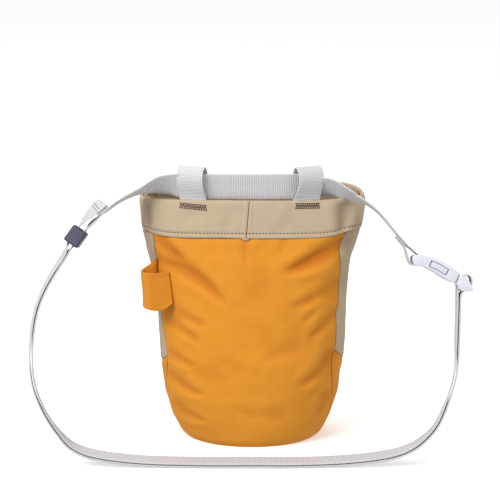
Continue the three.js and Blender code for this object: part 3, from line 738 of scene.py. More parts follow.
def evenly(line, count, closed=False):
    """Places at equal distances along a line."""
    whole = np.concatenate([line, line[:1]]) if closed else line
    run = steps_along(whole, 0)
    wanted = np.linspace(0, run[-1], count + 1)[: count if closed else None]
    return np.stack([np.interp(wanted, run, column) for column in whole.T], -1)


def cloth_ring(name, places, closed_section=True, hollow=None):
    """A ring of cloth, from places given along the ring and then round its section."""
    hollow = np.zeros(places.shape[:2]) if hollow is None else hollow
    places, hollow = np.concatenate([places, places[:1]]), np.concatenate([hollow, hollow[:1]])
    if closed_section:
        places = np.concatenate([places, places[:, :1]], 1)
        hollow = np.concatenate([hollow, hollow[:, :1]], 1)
    along = np.broadcast_to(steps_along(places, 0).mean(1)[:, None], places.shape[:2])
    round_it = np.broadcast_to(steps_along(places, 1).mean(0)[None, :], places.shape[:2])
    piece, _, _ = open_grid(name, places.shape[0] - 1, places.shape[1] - 1)
    place_vertices(piece, places.transpose(1, 0, 2))
    lay_flat(piece, np.stack([along.T, round_it.T], -1))
    keep_painted_shade(piece, hollow.T)
    return tidy(piece, 70)


profile = evenly(smooth_line(cuff_profile, 12, closed=True), 64, closed=True) / 1000
turns = np.radians(np.linspace(-90, 270, 6000))
ring_run = steps_along(skin(turns, np.full(6000, body_height - 0.01)), 0)

# The columns of the cuff stand close together at its own seam, and wider apart over the rest
ring_length, seam_step = ring_run[-1], 0.0002
right_of_seam = np.arange(0, 0.0062, seam_step)
left_of_seam = ring_length - np.arange(seam_step, 0.0072, seam_step)
others = np.linspace(0.0072, ring_length - 0.0082, 320)
angles = np.sort(np.concatenate([right_of_seam, left_of_seam, others]))
angles = np.interp(angles, ring_run, turns)
angle = np.repeat(angles[:, None], len(profile), 1)
inset = np.repeat(profile[None, :, 0], len(angles), 0)
lift = cuff_lift(angle)
above_edge = np.repeat(profile[None, :, 1], len(angles), 0)
height = cuff_bottom + lift + above_edge * (1 - lift / cuff_height)

# Soft dents of the cuff, in the same terms as the creases of the panels
cuff_creases = (
    (62, 150, 65, 173, 0.5, 2.4, 6.5),
    (-71, 151, -72, 174, -0.5, 1.7, 4),
    (-20, 152, -8, 170, 2, 0.35, 6),
    (14, 152, 30, 168, -2, 0.45, 6),
    (-50, 153, -38, 166, 2, 0.35, 5),
)
places = skin(angle, np.minimum(height, body_height))
normals = skin_normal(angle, np.minimum(height, body_height - 0.001))
normals[..., 2] *= 0.2
normals /= np.linalg.norm(normals, axis=-1, keepdims=True)
run = steps_along(skin(angles, body_height - 0.01), 0)[:, None]
outer_face = ease(-inset, -0.0015, -0.0003)
wavy = 0.0004 * waves(places, 0.03, 8) + 0.00016 * waves(places, 0.008, 9)
near = np.sin(angle) < 0
x, z = places[..., 0], places[..., 2]
wavy += creased(x, z, cuff_creases) * near * ease(body_height - height, 0, 0.006)
from_seam = (x - cuff_seam_x + cuff_seam_slant * (body_height - height)) * 1000
seam_cut = 0.35 * bell(np.abs(from_seam) - 1.9, 1.1) - 0.9 * bell(from_seam, 0.24)
seam_cut *= near / 1000
from_stitches = (height - stitch_line - lift) * 1000
# painted shade: the cuff darkens in its dents and valleys
cuff_painted_shade = 0.45 * np.clip(-wavy / 0.0024, 0, 1)
wavy -= 0.0014 * bell(turn_in_degrees(angle) + 180, 16) * bell(height - 0.161, 0.012)
# painted shade in the groove of the cuff's seam, along the groove of its stitches and along its
# lower edge
seam_groove_shade = 0.75 * bell(from_seam, 0.26) * near * outer_face
stitch_groove_shade = 0.15 * bell(from_stitches, 0.8) * outer_face
hem_edge_shade = 0.9 * ease(-(height - cuff_bottom - lift) * 1000, -0.5, 0.1)
for tone in (seam_groove_shade, stitch_groove_shade, hem_edge_shade):
    cuff_painted_shade = np.maximum(cuff_painted_shade, tone)
puckered = np.sin(run * 2 * np.pi / cuff_pucker_pitch)
drawn_in = 0.00012 * puckered * bell(from_stitches, 1.6)
out = wavy + (seam_cut + drawn_in) * outer_face - inset
places = places + normals * out[..., None]
uneven = 0.0003 * waves(places * (1, 1, 0), 0.035, 10)
places[..., 2] += height - np.minimum(height, body_height) + uneven

cuff = cloth_ring("cuff_cloth", places, hollow=cuff_painted_shade)
cuff.data.materials.append(beige_canvas)
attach(cuff, "root")
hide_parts("rim_band")


# Nub: the end of the cuff's own seam, in the same beige canvas. It is folded under, and shows as a
# small lump below the middle of the cuff.
bpy.ops.object.select_all(action="DESELECT")
bpy.ops.mesh.primitive_cube_add(size=1)
nub = bpy.context.object
nub.name = "cuff_seam_nub"
bpy.ops.object.mode_set(mode="EDIT")
bpy.ops.mesh.select_all(action="SELECT")
bpy.ops.mesh.subdivide(number_cuts=3)
bpy.ops.object.mode_set(mode="OBJECT")
corners = np.array([corner.co for corner in nub.data.vertices])
rounded = corners / np.maximum(np.linalg.norm(corners * 1.7, axis=1, keepdims=True), 0.75)
nub_x, nub_size = -0.0042, (0.0042, 0.0014, 0.0018)
nub_angle = angle_at(np.array(nub_x / (rim_width / 2) * 1.1), cuff_bottom)
nub_height = np.array(cuff_bottom - 0.0004)
nub_place = skin(nub_angle, nub_height) * (0, 1, 1) + np.array((nub_x, -0.0001, 0))
place_vertices(nub, nub_place + rounded * nub_size)
lay_flat(nub, corners[:, [0, 2]] * 0.003)
# painted shade: the whole nub is darkened a little, as under the cuff
keep_painted_shade(nub, np.full(len(corners), 0.15))
tidy(nub, 60)
nub.data.materials.append(beige_canvas)
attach(nub, "root")


# Lining: a cup of brown fleece inside the shell, with a short curly pile. It is sewn in under the
# fold of the cuff.
lining_inset, lining_wall, lining_top = 0.0034, 0.0022, 0.0008
pile_height = 0.00075
fleece_top = body_height - lining_top
fleece_floor = 0.0022 + lining_wall + 0.0004
around = 300
wall_rows = np.linspace(0.02, 1, 104) ** 0.9
floor_rows = np.linspace(0, 1, 30, endpoint=False)
back_rows = np.linspace(1, 0, 16)
angles = np.linspace(-np.pi, np.pi, around, endpoint=False)


def lining_row(share, inset, lowest):
    height = share * fleece_top
    level = np.full(around, height)
    places = skin(angles, level)
    loose = np.minimum(slack(angles, level, places), 0.0003)
    pressed = loose * ease(panel_top - height, -0.006, 0.003)
    outward = skin_normal(angles, np.maximum(level, 0.0004))
    places = places - outward * (inset - pressed)[:, None]
    places[:, 2] = np.maximum(places[:, 2], lowest)
    return places


def towards_middle(row, share):
    return row * (share, share, 1)


inner = lining_inset + lining_wall
first_inner = lining_row(wall_rows[0], inner, fleece_floor)
first_outer = lining_row(back_rows[-1], lining_inset, fleece_floor - lining_wall)
rows = [towards_middle(first_inner, share) for share in floor_rows]
rows += [lining_row(share, inner, fleece_floor) for share in wall_rows]
top_ring = lining_row(1, lining_inset + lining_wall / 2, 0)
top_ring[:, 2] += lining_wall / 2.4
rows += [top_ring]
pile_rows = len(rows)
rows += [lining_row(share, lining_inset, fleece_floor - lining_wall) for share in back_rows]
rows += [towards_middle(first_outer, share) for share in (0.6, 0.3, 0)]
places = np.stack(rows, 1)
pile = np.zeros(places.shape[:2])
pile[:, :pile_rows] = ease(np.arange(pile_rows), 0, 3)
curls = 0.5 + 0.5 * waves(places, 0.0032, 3) + 0.35 * waves(places, 0.0014, 4)
curls += 0.6 * waves(places, 0.012, 6)
inward = places * (-1, -1, 0)
inward /= np.maximum(np.linalg.norm(inward, axis=-1, keepdims=True), 0.004)
inward[:, : len(floor_rows), 2] = 1
places = places + inward * (pile * curls * pile_height)[..., None]

lining = cloth_ring("lining_fleece", places, closed_section=False)


def own_places(start):
    """The places on a piece, in metres from the frame's origin."""
    object_out = 3
    return start.node("ShaderNodeTexCoord", (), (), object_out)


def fleece(name, light, deep):
    """Curly pile: tufts a few millimetres across, darker gaps between them, and a soft sheen."""
    material, start, shader = finish(name, 1.0, sheen=0.45, sheen_tint=light)
    at = own_places(start)
    sockets = {"Vector": at, "Scale": 420.0}
    tufts = at.node("ShaderNodeTexVoronoi", {"feature": "SMOOTH_F1"}, sockets)
    curl, patches = mottle(at, 900.0, 3.0), mottle(at, 60.0, 2.0)
    tone = (1.25 * patches + 0.5 * curl - 0.45 * tufts - 0.2).clamped()
    wire(shader, Base_Color=tone.mix(deep, light))
    emboss(shader, curl - 0.8 * tufts, 0.8, 0.0006)
    return material


lining.data.materials.append(fleece("brown_fleece", colour("B49D83"), colour("7A6550")))
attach(lining, "root")
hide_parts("lining")


# Webbing: 19 mm flat-woven tape in a light grey. Its picks lie across it as fine ribs, and the
# yarns along it show as rows of small dashes.
webbing_width, webbing_thickness = 0.019, 0.0012
webbing_edge = 0.0006
rib_pitch, rings_per_rib = 0.0012, 3


def directions(line):
    """Unit directions along a line of places."""
    ahead = np.gradient(line, axis=0)
    return ahead / np.linalg.norm(ahead, axis=1, keepdims=True)


def tape(name, stations, wides):
    """Ribbed tape through stations, each with the direction of its width, closed at both ends."""
    both = smooth_line(np.concatenate([stations, wides * 0.001], 1), 16)
    run = steps_along(both[:, :3], 0)
    rings = int(round(run[-1] / (rib_pitch / rings_per_rib)))
    wanted = np.linspace(0, run[-1], rings + 1)
    line = np.stack([np.interp(wanted, run, both[:, k]) for k in range(3)], -1)
    wide = np.stack([np.interp(wanted, run, both[:, k]) for k in range(3, 6)], -1)
    ahead = directions(line)
    wide -= ahead * np.sum(wide * ahead, 1, keepdims=True)
    wide /= np.linalg.norm(wide, axis=1, keepdims=True)
    thick = np.cross(ahead, wide)
    half, edge = webbing_thickness / 2, webbing_width / 2 - webbing_edge
    face, flat = np.linspace(-1, 1, 7) * edge, np.full(7, half)
    turn = np.radians((30, 90, 150))
    rounded, falling = edge + webbing_edge * np.sin(turn), half * np.cos(turn)
    across = np.concatenate([face, rounded, -face, -rounded])
    level = np.concatenate([flat, falling, -flat, -falling])
    across, level = np.append(across, across[0]), np.append(level, level[0])
    rib = np.abs(np.sin(np.pi * wanted / rib_pitch))[:, None] ** 0.7
    level = level[None, :] * (0.8 + 0.24 * rib)
    across = across[None, :] * (0.994 + 0.008 * rib)
    places = line[:, None] + wide[:, None] * across[..., None] + thick[:, None] * level[..., None]
    piece, _, _ = open_grid(name, rings, across.shape[1] - 1)
    place_vertices(piece, places.transpose(1, 0, 2))
    round_it = np.concatenate([[0], np.cumsum(np.hypot(np.diff(across[0]), np.diff(level[1])))])
    lay_flat(piece, np.stack(np.broadcast_arrays(wanted[None, :], round_it[:, None]), -1))
    bpy.ops.object.mode_set(mode="EDIT")
    bpy.ops.mesh.select_all(action="SELECT")
    bpy.ops.mesh.remove_doubles(threshold=0.000002)
    bpy.ops.mesh.fill_holes(sides=0)
    bpy.ops.object.mode_set(mode="OBJECT")
    tidy(piece, 60)
    return piece, line, wide, thick


def woven_tape(name, light, deep):
    """Ribs across the tape, crossed by rows of yarn that go over and under by turns."""
    material, start, shader = finish(name, 0.7, sheen=0.15)
    along, round_it, flat = cloth_places(start)
    rib = along / (rib_pitch * 1000)
    row = rib.math("FLOOR")
    line = (rib * math.pi).math("SINE").math("ABSOLUTE") ** 0.6
    yarn_pitch = 1.3
    dash = ((round_it / yarn_pitch + row * 0.5) * (2 * math.pi)).math("SINE")
    uneven = threads(flat, 700, 1100, 3.0)
    tone = (0.02 + 0.6 * line + 0.22 * dash * line + 0.4 * uneven).clamped()
    wire(shader, Base_Color=tone.mix(deep, light))
    emboss(shader, 0.25 * dash + 0.8 * line + 0.3 * uneven, 0.6, 0.0003)
    return material


grey_webbing = woven_tape("grey_webbing", colour("E6E6E9"), colour("8B898C"))

# Belt loops: two short lengths of the webbing, each with one end sewn behind the cuff by a brown
# bar tack and the other end sewn inside the lining.
loop_height, loop_depth, loop_tuck = 0.0229, 0.0096, 0.009
tuck_inset, inner_inset = 0.002, 0.0067

# The webbing of a loop seen from its side: out as a share of the loop's depth, up of its height
loop_arch = (
    (-0.06, 0.17),
    (0.21, 0.39),
    (0.38, 0.61),
    (0.34, 0.79),
    (0.13, 0.935),
    (-0.16, 1),
    (-0.44, 0.935),
    (-0.63, 0.79),
    (-0.73, 0.57),
    (-0.75, 0.35),
    (-0.72, 0.15),
)


def turned(vector, angle):
    cos, sin = math.cos(angle), math.sin(angle)
    return np.array((vector[0] * cos - vector[1] * sin, vector[0] * sin + vector[1] * cos))


# Name, place across, and how far the arch is turned from the rim's own direction
for loop_name, middle_x, arch_turn in (("loop_left", -0.04, -14), ("loop_right", 0.0378, 20)):
    angle = angle_at(np.array(middle_x / (rim_width / 2)), body_height)
    edge = skin(angle, np.array(body_height))
    outward = skin_normal(angle, np.array(body_height - 0.001)) * (1, 1, 0)
    outward /= np.linalg.norm(outward)
    steps = [(-tuck_inset, up * loop_tuck) for up in (-1, -0.5, 0)]
    steps += [(out * loop_depth, up * loop_height) for out, up in loop_arch]
    steps += [(-inner_inset, up * loop_tuck) for up in (0, -0.5, -1)]
    middle = (tuck_inset + inner_inset) / 2
    stations, wides = [], []
    for out, up in steps:
        turn = math.radians(arch_turn) * ease(up, -loop_height * 0.3, loop_height * 0.3)
        turned_out = np.append(turned(outward, turn), 0)
        across = turned_out * (out + middle) - outward * middle
        stations.append(edge + across + np.array((0, 0, up)))
        wides.append((-turned_out[1], turned_out[0], 0))
    loop = tape(loop_name + "_webbing", np.array(stations), np.array(wides))[0]
    loop.data.materials.append(grey_webbing)
    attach(loop, "root")
    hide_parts(loop_name)


# Brush loop: a doubled band of the orange canvas, sewn to the back panel at one end and into its
# left seam at the other. It stands open to take a brush.
brush_top, brush_height = 0.1236, 0.0255
brush_width, brush_depth, brush_wall = 0.0188, 0.012, 0.0015
brush_sewn = 0.82

# The loop from where it is sewn on: how far left and how near, then how far its upper edge rises
# and how tall it is, both as shares of its height
brush_route = (
    (0.34, 0.28, 0, 1.03),
    (0.68, 0.3, 0, 1.04),
    (0.92, 0.15, 0, 1),
    (1, -0.16, 0.02, 0.97),
    (0.9, -0.46, 0.07, 0.94),
    (0.68, -0.68, 0.17, 0.88),
)
levels = np.linspace(0, 1, 25)
lines = []
for level in levels:
    height = np.array(brush_top - level * brush_height * 0.86)
    seam_height = np.array(brush_top + (0.34 - level * 0.8) * brush_height)
    out = 0.00035 + brush_wall / 2
    sewn_angle = angle_at(np.array(-brush_sewn + 0.012 * level), height)
    seam_angle = left_seam(seam_height) - 0.014
    sewn = skin(sewn_angle, height) + skin_normal(sewn_angle, height) * out
    seam = skin(seam_angle, seam_height) + skin_normal(seam_angle, seam_height) * out
    bends = []
    for left, near, rise, tall in brush_route:
        bend = sewn - np.array((left * brush_width * (1 + 0.05 * level), near * brush_depth, 0))
        bend[2] = brush_top + (rise - level * tall) * brush_height
        bends.append(bend)
    lines.append(evenly(smooth_line([sewn, *bends, seam], 16), 96))
places = np.array(lines)
ahead = np.gradient(places, axis=1) * (1, 1, 0)
outward = np.cross(ahead, (0, 0, -1.0))
outward /= np.linalg.norm(outward, axis=-1, keepdims=True)
run, rise = steps_along(places, 1), steps_along(places, 0)
soft = 0.0003 * waves(places, 0.009, 11)
for hem in (0.13, 0.87):
    soft = soft - 0.0002 * bell(levels - hem, 0.035)[:, None]
brush_loop, _, _ = open_grid("brush_loop_cloth", places.shape[1] - 1, places.shape[0] - 1)
place_vertices(brush_loop, places + outward * (soft + brush_wall / 2)[..., None])
lay_flat(brush_loop, np.stack([run, rise], -1))
whole = run[:, -1:]
# painted shade: darker where the loop is sewn on and at its first bend
shade_at_sewn_edges = 0.8 * bell(run * 1000, 0.7) + 0.8 * bell((whole - run) * 1000, 0.9)
shade_at_first_bend = 0.35 * bell(run - 0.3 * whole, 0.005) * (run < 0.5 * whole)
keep_painted_shade(brush_loop, shade_at_sewn_edges + shade_at_first_bend)
tidy(brush_loop)
thicken(brush_loop, brush_wall)
edge_bevel = brush_loop.modifiers.new("folded_edges", "BEVEL")
edge_bevel.width = 0.0005
edge_bevel.segments = 3
edge_bevel.limit_method = "ANGLE"
edge_bevel.angle_limit = math.radians(50)
bpy.ops.object.modifier_apply(modifier=edge_bevel.name)
bpy.ops.object.shade_smooth_by_angle(angle=math.radians(60))
brush_loop.data.materials.append(orange_canvas)
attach(brush_loop, "root")
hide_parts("brush_loop")


# Belt: one length of the webbing. It is sewn round the bar of the buckle socket, runs through both
# loops and the slider, round the bar of the plug, and back through the slider to a hemmed tail.
hoop_half_width, hoop_reach, hoop_lean = 0.145, 0.0924, math.radians(11.3)
layer_gap, floor_gap, slack_fit = 0.0006, 0.0002, 0.00035
slider_length, slider_bar = 0.0123, 0.003
tail_length, hem_length = 0.023, 0.008
buckle_length = 0.042
hoop_wide = np.array((0, -math.cos(hoop_lean), math.sin(hoop_lean)))

# Over the rim: across and reach as shares of half the rim, rise as a share of the webbing's width,
# and the angle that the webbing leans towards the wearer
belt_over_rim = (
    (1.1, -1.17, -0.32, 77),
    (0.98, -1.1, 0.02, 73),
    (0.906, -1.05, 0.135, 64),
    (0.82, -1.03, 0.3, 54),
    (0.741, -0.95, 0.42, 46),
    (0.67, -0.89, 0.46, 42),
    (0.6, -0.873, 0.47, 34),
    (0.5, -0.91, 0.49, 19),
    (0.25, -0.95, 0.492, 14.5),
    (0, -0.958, 0.492, 14.5),
    (-0.25, -0.95, 0.492, 14.5),
    (-0.5, -0.94, 0.492, 14.5),
    (-0.6, -0.925, 0.51, 17),
    (-0.715, -0.9, 0.55, 34),
    (-0.804, -0.9, 0.535, 43),
    (-0.891, -0.92, 0.46, 57),
    (-0.978, -0.96, 0.345, 69),
    (-1.064, -1.02, 0.205, 74),
    (-1.15, -1.09, 0.035, 76),
    (-1.24, -1.16, -0.2, 77),
)

# Both layers round the hoop, from the slider over the floor to the buckle: across as a share of
# half the hoop, up as a share of the body, and how far the near edge of the webbing turns inwards
hoop_route = (
    (-0.87, 0.81, 0.16),
    (-0.933, 0.729, 0.165),
    (-0.973, 0.668, 0.14),
    (-1.003, 0.607, 0.13),
    (-1.021, 0.546, 0.125),
    (-1.03, 0.485, 0.11),
    (-1.034, 0.424, 0.09),
    (-1.032, 0.363, 0.07),
    (-1.02, 0.301, 0.07),
    (-0.994, 0.241, 0.06),
    (-0.954, 0.178, 0.04),
    (-0.907, 0.126, 0.02),
    (-0.851, 0.079, 0),
    (-0.781, 0.05, 0),
    (-0.71, 0.036, 0),
    (-0.617, 0.025, 0),
    (-0.476, 0.0155, 0),
    (-0.24, 0.0108, 0),
    (0, 0.0106, 0),
    (0.227, 0.0108, 0),
    (0.461, 0.0195, 0),
    (0.602, 0.033, 0),
    (0.696, 0.05, 0),
    (0.766, 0.076, 0),
    (0.827, 0.115, 0),
    (0.869, 0.156, 0),
    (0.902, 0.21, 0.03),
    (0.93, 0.271, 0.08),
    (0.951, 0.332, 0.09),
    (0.961, 0.393, 0.06),
    (0.963, 0.454, 0.02),
    (0.965, 0.52, 0),
    (0.968, 0.6, 0),
)

# Round the bars of the buckle: along and up as shares of its length from its middle
socket_wrap = (
    (-0.728, 0.59),
    (-0.604, 0.438),
    (-0.572, 0.36),
    (-0.552, 0.275),
    (-0.522, 0.185),
    (-0.473, 0.134),
    (-0.362, 0.152),
    (-0.346, 0.212),
    (-0.37, 0.282),
    (-0.43, 0.343),
    (-0.572, 0.465),
    (-0.74, 0.662),
)
plug_wrap = (
    (0.262, -0.34),
    (0.27, -0.235),
    (0.302, -0.14),
    (0.345, -0.07),
    (0.405, -0.033),
    (0.462, -0.057),
    (0.488, -0.119),
    (0.474, -0.19),
    (0.42, -0.245),
    (0.355, -0.29),
    (0.316, -0.35),
)


def on_hoop(across, up):
    """A place on the plane of the hoop, which leans back towards the rim."""
    return np.array((across, up * math.sin(hoop_lean) - hoop_reach, up * math.cos(hoop_lean)))


def hoop_place(across, up):
    return np.array((across * hoop_half_width, up * body_height / math.cos(hoop_lean)))


buckle_middle = hoop_place(0.887, 0.734)
slider_middle = hoop_place(-0.822, 0.8725)
slider_ahead = turned((1, 0), math.radians(-125.8))
slider_out = np.array((slider_ahead[1], -slider_ahead[0]))
beside_bar = slider_bar / 2 + slack_fit + webbing_thickness / 2 + 0.00015
layer_offset = (webbing_thickness + layer_gap) / 2


def in_slider(along, out):
    return on_hoop(*(slider_middle + slider_ahead * along + slider_out * out))


def upright(place):
    """The direction of the webbing's width: level at the floor, square to the hoop higher up."""
    standing = ease(place[2], webbing_width * 0.2, webbing_width * 1.6)
    return np.array((0, -1, 0)) * (1 - standing) + hoop_wide * standing


stations, wides = [], []


def station(place, wide=None):
    stations.append(place)
    wides.append(upright(place) if wide is None else wide)


for along, up in socket_wrap:
    station(on_hoop(*(buckle_middle + np.array((along, up)) * buckle_length)))
for across, reach, rise, lean in belt_over_rim:
    lean = math.radians(lean)
    over_rim = body_height + rise * webbing_width
    place = np.array((across * rim_width / 2, reach * rim_depth / 2, over_rim))
    station(place, np.array((0, -math.sin(lean), math.cos(lean))))
half, slider_twist = slider_length / 2, 0.17
slider_inward = on_hoop(*-slider_out) - on_hoop(0, 0)
above_slider = in_slider(-half - slider_length * 0.55, -beside_bar - webbing_thickness / 2)
station(above_slider, hoop_wide + slider_twist * slider_inward)
station(in_slider(-half, -beside_bar))
station(in_slider(0, -beside_bar))
station(in_slider(half, -beside_bar + 0.0005))
lowest = (floor_gap + webbing_thickness / 2 + layer_offset) / math.cos(hoop_lean)
hoop = np.array([hoop_place(*row[:2]) for row in hoop_route])
twists = np.array([row[2] for row in hoop_route])
hoop[:, 1] = np.maximum(hoop[:, 1], lowest)
ahead = directions(hoop)
aside = np.stack([ahead[:, 1], -ahead[:, 0]], -1)
inward = np.stack([on_hoop(*-way) - on_hoop(0, 0) for way in aside]) * twists[:, None]
for place, turning in zip(hoop - aside * layer_offset, inward):
    place = on_hoop(*place)
    station(place, upright(place) + turning)
for along, up in plug_wrap:
    station(on_hoop(*(buckle_middle + np.array((along, up)) * buckle_length)))
for place, turning in zip((hoop + aside * layer_offset)[::-1], inward[::-1]):
    place = on_hoop(*place)
    station(place, upright(place) + turning)
station(in_slider(half, beside_bar - 0.0005))
station(in_slider(0, beside_bar))
tail_turn = np.array((0.39, -0.92, -0.06))
tail_turn /= np.linalg.norm(tail_turn)
fold = webbing_thickness / 2 + 0.00006
tail_back = np.cross(in_slider(-1, 0) - in_slider(0, 0), tail_turn)
tail_back /= np.linalg.norm(tail_back)

# Along the tail, out of the hoop, how far its width has turned, and how far the hem is folded back
tail_rows = (
    (0, -0.0002, 0.12, 0),
    (tail_length * 0.35, -0.0005, 0.5, 0),
    (tail_length * 0.7, -0.0019, 0.85, 0),
    (tail_length - 0.0007, -0.0031, 1, 0),
    (tail_length, -0.0031, 1, fold),
    (tail_length - 0.0007, -0.0031, 1, 2 * fold),
    (tail_length - hem_length, -0.0019, 0.87, 2 * fold),
)
for along, out, twist, folded in tail_rows:
    place = in_slider(-half - along, beside_bar + out) + tail_back * folded
    station(place, hoop_wide * (1 - twist) + tail_turn * twist)

belt, belt_line, belt_wide, belt_thick = tape("belt_webbing", np.array(stations), np.array(wides))
belt.data.materials.append(grey_webbing)
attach(belt, "root")
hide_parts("belt")


# Slider and buckle: moulded plastic, slate for the slider and cool white for the buckle. Their
# forms are the solids of the frame with the edges rounded as they come out of the mould.
def moulded(node, name, edge, material):
    """A copy of a solid of the frame, merged, with its edges rounded."""
    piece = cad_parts[node].copy()
    piece.data = piece.data.copy()
    piece.name = name
    piece.hide_render = piece.hide_viewport = False
    bpy.context.collection.objects.link(piece)
    piece.data.materials.clear()
    piece.data.materials.append(material)
    for key in list(piece.keys()):
        del piece[key]
    piece.parent = None
    pick(piece)
    bpy.ops.object.mode_set(mode="EDIT")
    bpy.ops.mesh.select_all(action="SELECT")
    bpy.ops.mesh.remove_doubles(threshold=0.00001)
    bpy.ops.mesh.dissolve_limited(angle_limit=math.radians(4))
    bpy.ops.object.mode_set(mode="OBJECT")
    rounding = piece.modifiers.new("mould_edges", "BEVEL")
    rounding.width = edge
    rounding.segments = 3
    rounding.limit_method = "ANGLE"
    rounding.angle_limit = math.radians(32)
    rounding.use_clamp_overlap = True
    bpy.ops.object.modifier_apply(modifier=rounding.name)
    bpy.ops.object.shade_smooth_by_angle(angle=math.radians(40))
    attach(piece, "root")
    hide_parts(node)


def moulding(name, light, deep, roughness):
    """Moulded plastic with a fine spark-eroded grain and faint cloudiness."""
    material, start, shader = finish(name, roughness)
    at = own_places(start)
    clouds = mottle(at, 90.0, 3.0)
    wire(shader, Base_Color=clouds.mix(deep, light), Roughness=roughness - 0.06 + 0.12 * clouds)
    emboss(shader, mottle(at, 2600.0, 2.0), 0.25, 0.00005)
    return material


slate_plastic = moulding("slate_plastic", colour("504E5F"), colour("403E4E"), 0.5)
# a paler copy of the slate plastic, a painted highlight for the slider's ribs
slate_painted_highlight = moulding("slate_painted_highlight", colour("817F96"), colour("6C6A80"), 0.55)
white_plastic = moulding("white_plastic", colour("DFE1EA"), colour("CDD0DB"), 0.34)
for plastic in (slate_plastic, slate_painted_highlight):
    plastic.node_tree.nodes["Principled BSDF"].inputs["Specular IOR Level"].default_value = 0.25
moulded("slider", "slider_moulding", 0.0004, slate_plastic)
moulded("buckle_socket", "socket_moulding", 0.00035, white_plastic)
moulded("buckle_plug", "plug_moulding", 0.00035, white_plastic)

# Grip ribs on both cheeks of the slider: low bars across the run of the strap, in a paler copy of
# the slate as a painted highlight
slider_cheek = 0.0022
rib_step, rib_width, rib_length, rib_rise = 0.00142, 0.0007, 0.0083, 0.0009
bpy.ops.object.select_all(action="DESELECT")
bpy.ops.mesh.primitive_cube_add(size=1)
ribs = bpy.context.object
ribs.name = "slider_ribs"
bar = np.array([corner.co for corner in ribs.data.vertices])
bar_faces = [list(face.vertices) for face in ribs.data.polygons]
cheek_face = (webbing_width + 4 * slack_fit) / 2 + slider_cheek
corners, faces = [], []
for side in (-1, 1):
    for along in np.arange(-3, 4) * rib_step:
        taper = 1 - 0.45 * (bar[:, 2:3] * side > 0)
        flat = slider_middle + slider_ahead * (along + bar[:, 0:1] * rib_width * taper)
        flat = flat + slider_out * bar[:, 1:2] * rib_length
        faces += [[corner + len(corners) for corner in face] for face in bar_faces]
        lifted = side * cheek_face + bar[:, 2] * rib_rise
        corners += [on_hoop(*place) + hoop_wide * level for place, level in zip(flat, lifted)]
ribs.data.clear_geometry()
ribs.data.from_pydata([tuple(corner) for corner in corners], [], faces)
tidy(ribs, 30)
ribs.data.materials.append(slate_painted_highlight)
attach(ribs, "root")


# Stitching: dark brown thread on the cuff and its bar tacks, grey thread on the belt's sewn ends.
# Each stitch is a short raised oval that dips into the cloth at both ends.
def stitches(name, places, ways, outs, length, thickness, material):
    """One stitch at each place, along its way, and lying on the face that outs points away from."""
    bpy.ops.object.select_all(action="DESELECT")
    bpy.ops.mesh.primitive_uv_sphere_add(segments=8, ring_count=6, radius=0.5)
    piece = bpy.context.object
    piece.name = name
    one = np.array([v.co for v in piece.data.vertices])
    faces = [list(face.vertices) for face in piece.data.polygons]
    ways = ways / np.linalg.norm(ways, axis=1, keepdims=True)
    outs = outs - ways * np.sum(outs * ways, 1, keepdims=True)
    outs /= np.linalg.norm(outs, axis=1, keepdims=True)
    sides = np.cross(outs, ways)
    lengths = np.broadcast_to(length, len(places))[:, None, None]
    round_x, round_y, along = one[None, :, 0:1], one[None, :, 1:2], one[None, :, 2:3]
    whole = places[:, None] + ways[:, None] * along * lengths
    whole = whole + (sides[:, None] * round_x + outs[:, None] * round_y) * thickness
    starts = np.arange(len(places)) * len(one)
    all_faces = [[corner + start for corner in face] for start in starts for face in faces]
    piece.data.clear_geometry()
    piece.data.from_pydata(whole.reshape(-1, 3).tolist(), [], all_faces)
    piece.data.update()
    piece.data.materials.append(material)
    bpy.ops.object.shade_smooth()
    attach(piece, "root")
    return piece


def thread(name, light, deep):
    """Twisted sewing thread, darker between its plies."""
    material, start, shader = finish(name, 0.6, sheen=0.1)
    plies = mottle(own_places(start), 1800.0, 2.0)
    wire(shader, Base_Color=plies.mix(deep, light))
    emboss(shader, plies, 0.5, 0.0001)
    return material


brown_thread = thread("brown_thread", colour("5C4635"), colour("3A2B21"))
grey_thread = thread("grey_thread", colour("8F8C8A"), colour("6E6A68"))


def laid_on(piece, places, outs):
    """The places moved along outs onto the face of a piece, and the directions out of that face."""
    face = BVHTree.FromObject(piece, bpy.context.evaluated_depsgraph_get())
    hits = [face.ray_cast(Vector(p + o * 0.008), Vector(-o), 0.03) for p, o in zip(places, outs)]
    laid = np.array([hit[0] if hit[0] is not None else p for hit, p in zip(hits, places)])
    normals = np.array([hit[1] if hit[0] is not None else o for hit, o in zip(hits, outs)])
    return laid, normals


def over_cuff(angle, height):
    """A place over the outer face of the cuff, and the level direction out of it."""
    outward = skin_normal(angle, height) * (1, 1, 0)
    return skin(angle, height), outward / np.linalg.norm(outward, axis=-1, keepdims=True)


stitch_pitch, stitch_length, thread_width, thread_rise = 0.0025, 0.0013, 0.00064, 0.0001
stitch_count = int(round(ring_length / stitch_pitch))
turns = np.interp((np.arange(stitch_count) + 0.35) * ring_length / stitch_count, ring_run, turns)
places, outs = laid_on(cuff, *over_cuff(turns, stitch_line + cuff_lift(turns)))
ways = np.roll(places, -1, 0) - np.roll(places, 1, 0)
lifted = places + outs * thread_rise
cuff_stitches = stitches(
    "cuff_stitches", lifted, ways, outs, stitch_length, thread_width, brown_thread
)

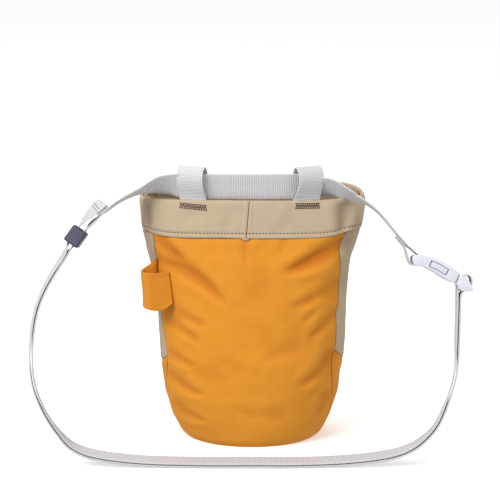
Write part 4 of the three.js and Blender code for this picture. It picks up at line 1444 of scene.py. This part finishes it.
# Bar tacks, each a line of stitches above and below with a close zigzag between them: name,
# middle, half the length, the heights of both lines, and how far the right end hangs lower
tacks = (
    ("bar_tack_left", -0.04, 0.0091, 0.172, 0.1687, 0.0008),
    ("bar_tack_right", 0.0384, 0.0081, 0.1725, 0.1692, 0),
)
row, zigzag = 23, 22
row_stitch, zigzag_stitch, zigzag_slope, tack_thread = 0.001, 0.0036, 3.4, 0.0006
for tack_name, tack_middle, reach, high, low, drop in tacks:
    across = np.linspace(-reach, reach, row)
    middles = np.concatenate([across, across[:-1] + 0.0004, across])
    counts = (row, zigzag, row)
    heights = np.repeat((high, (high + low) / 2, low), counts) - drop * middles / reach
    share = (tack_middle + middles) / (rim_width / 2)
    places, outs = laid_on(cuff, *over_cuff(angle_at(share, heights), heights))
    ways = np.zeros((len(places), 3))
    ways[:, 0] = 1
    ways[row : row + zigzag, 2] = np.where(np.arange(zigzag) % 2 == 0, zigzag_slope, -zigzag_slope)
    lengths = np.repeat((row_stitch, zigzag_stitch, row_stitch), counts)
    lifted = places + outs * thread_rise
    tack = stitches(tack_name, lifted, ways, outs, lengths, tack_thread, brown_thread)


# The belt's sewn ends: three rows of stitches across the webbing where it is sewn to itself at the
# socket, and two across the folded hem of the tail, each showing on both faces of the sewn layers.
half_row, stitches_in_row, layer_face = 0.0082, 9, 0.00062
end_stitch, end_thread = 0.0015, 0.0005


def rows_across(name, rings, away_from, material):
    """Rows of stitches across the belt at these rings, on the face turned away from a place."""
    side = 1 if np.dot(belt_thick[rings[0]], belt_line[rings[0]] - away_from) > 0 else -1
    places, ways, outs = [], [], []
    for ring in rings:
        for offset in np.linspace(-half_row, half_row, stitches_in_row):
            outs.append(belt_thick[ring] * side)
            ways.append(belt_wide[ring])
            places.append(belt_line[ring] + belt_wide[ring] * offset + outs[-1] * layer_face)
    places, ways, outs = np.array(places), np.array(ways), np.array(outs)
    rows = stitches(name, places, ways, outs, end_stitch, end_thread, material)


def sewn_end(name, rings, beneath, material):
    """Rows on an end of the belt, and the same rows on the back of the layer beneath it."""
    nearest = [np.linalg.norm(belt_line[beneath] - belt_line[ring], axis=1) for ring in rings]
    facing = [beneath[int(np.argmin(distances))] for distances in nearest]
    rows_across(name, rings, belt_line[facing[0]], material)
    rows_across(name + "_back", facing, belt_line[rings[0]], material)


def rings_at(*distances):
    """The rings of the belt at these distances from its end at the socket."""
    return np.array([int(distance / rib_pitch * rings_per_rib) for distance in distances])


last_ring = len(belt_line) - 1
flap_rows, hem_rows = rings_at(0.0018, 0.0042, 0.0068), rings_at(0.0016, 0.0036)
beneath_flap, beneath_hem = np.arange(*rings_at(0.022, 0.06)), np.arange(*rings_at(0.009, 0.022))
sewn_end("socket_end_stitches", flap_rows, beneath_flap, grey_thread)
sewn_end("hem_stitches", last_ring - hem_rows, last_ring - beneath_hem, brown_thread)


(cad_low, cad_high), (low, high) = cad_box, [list(corner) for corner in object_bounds()]
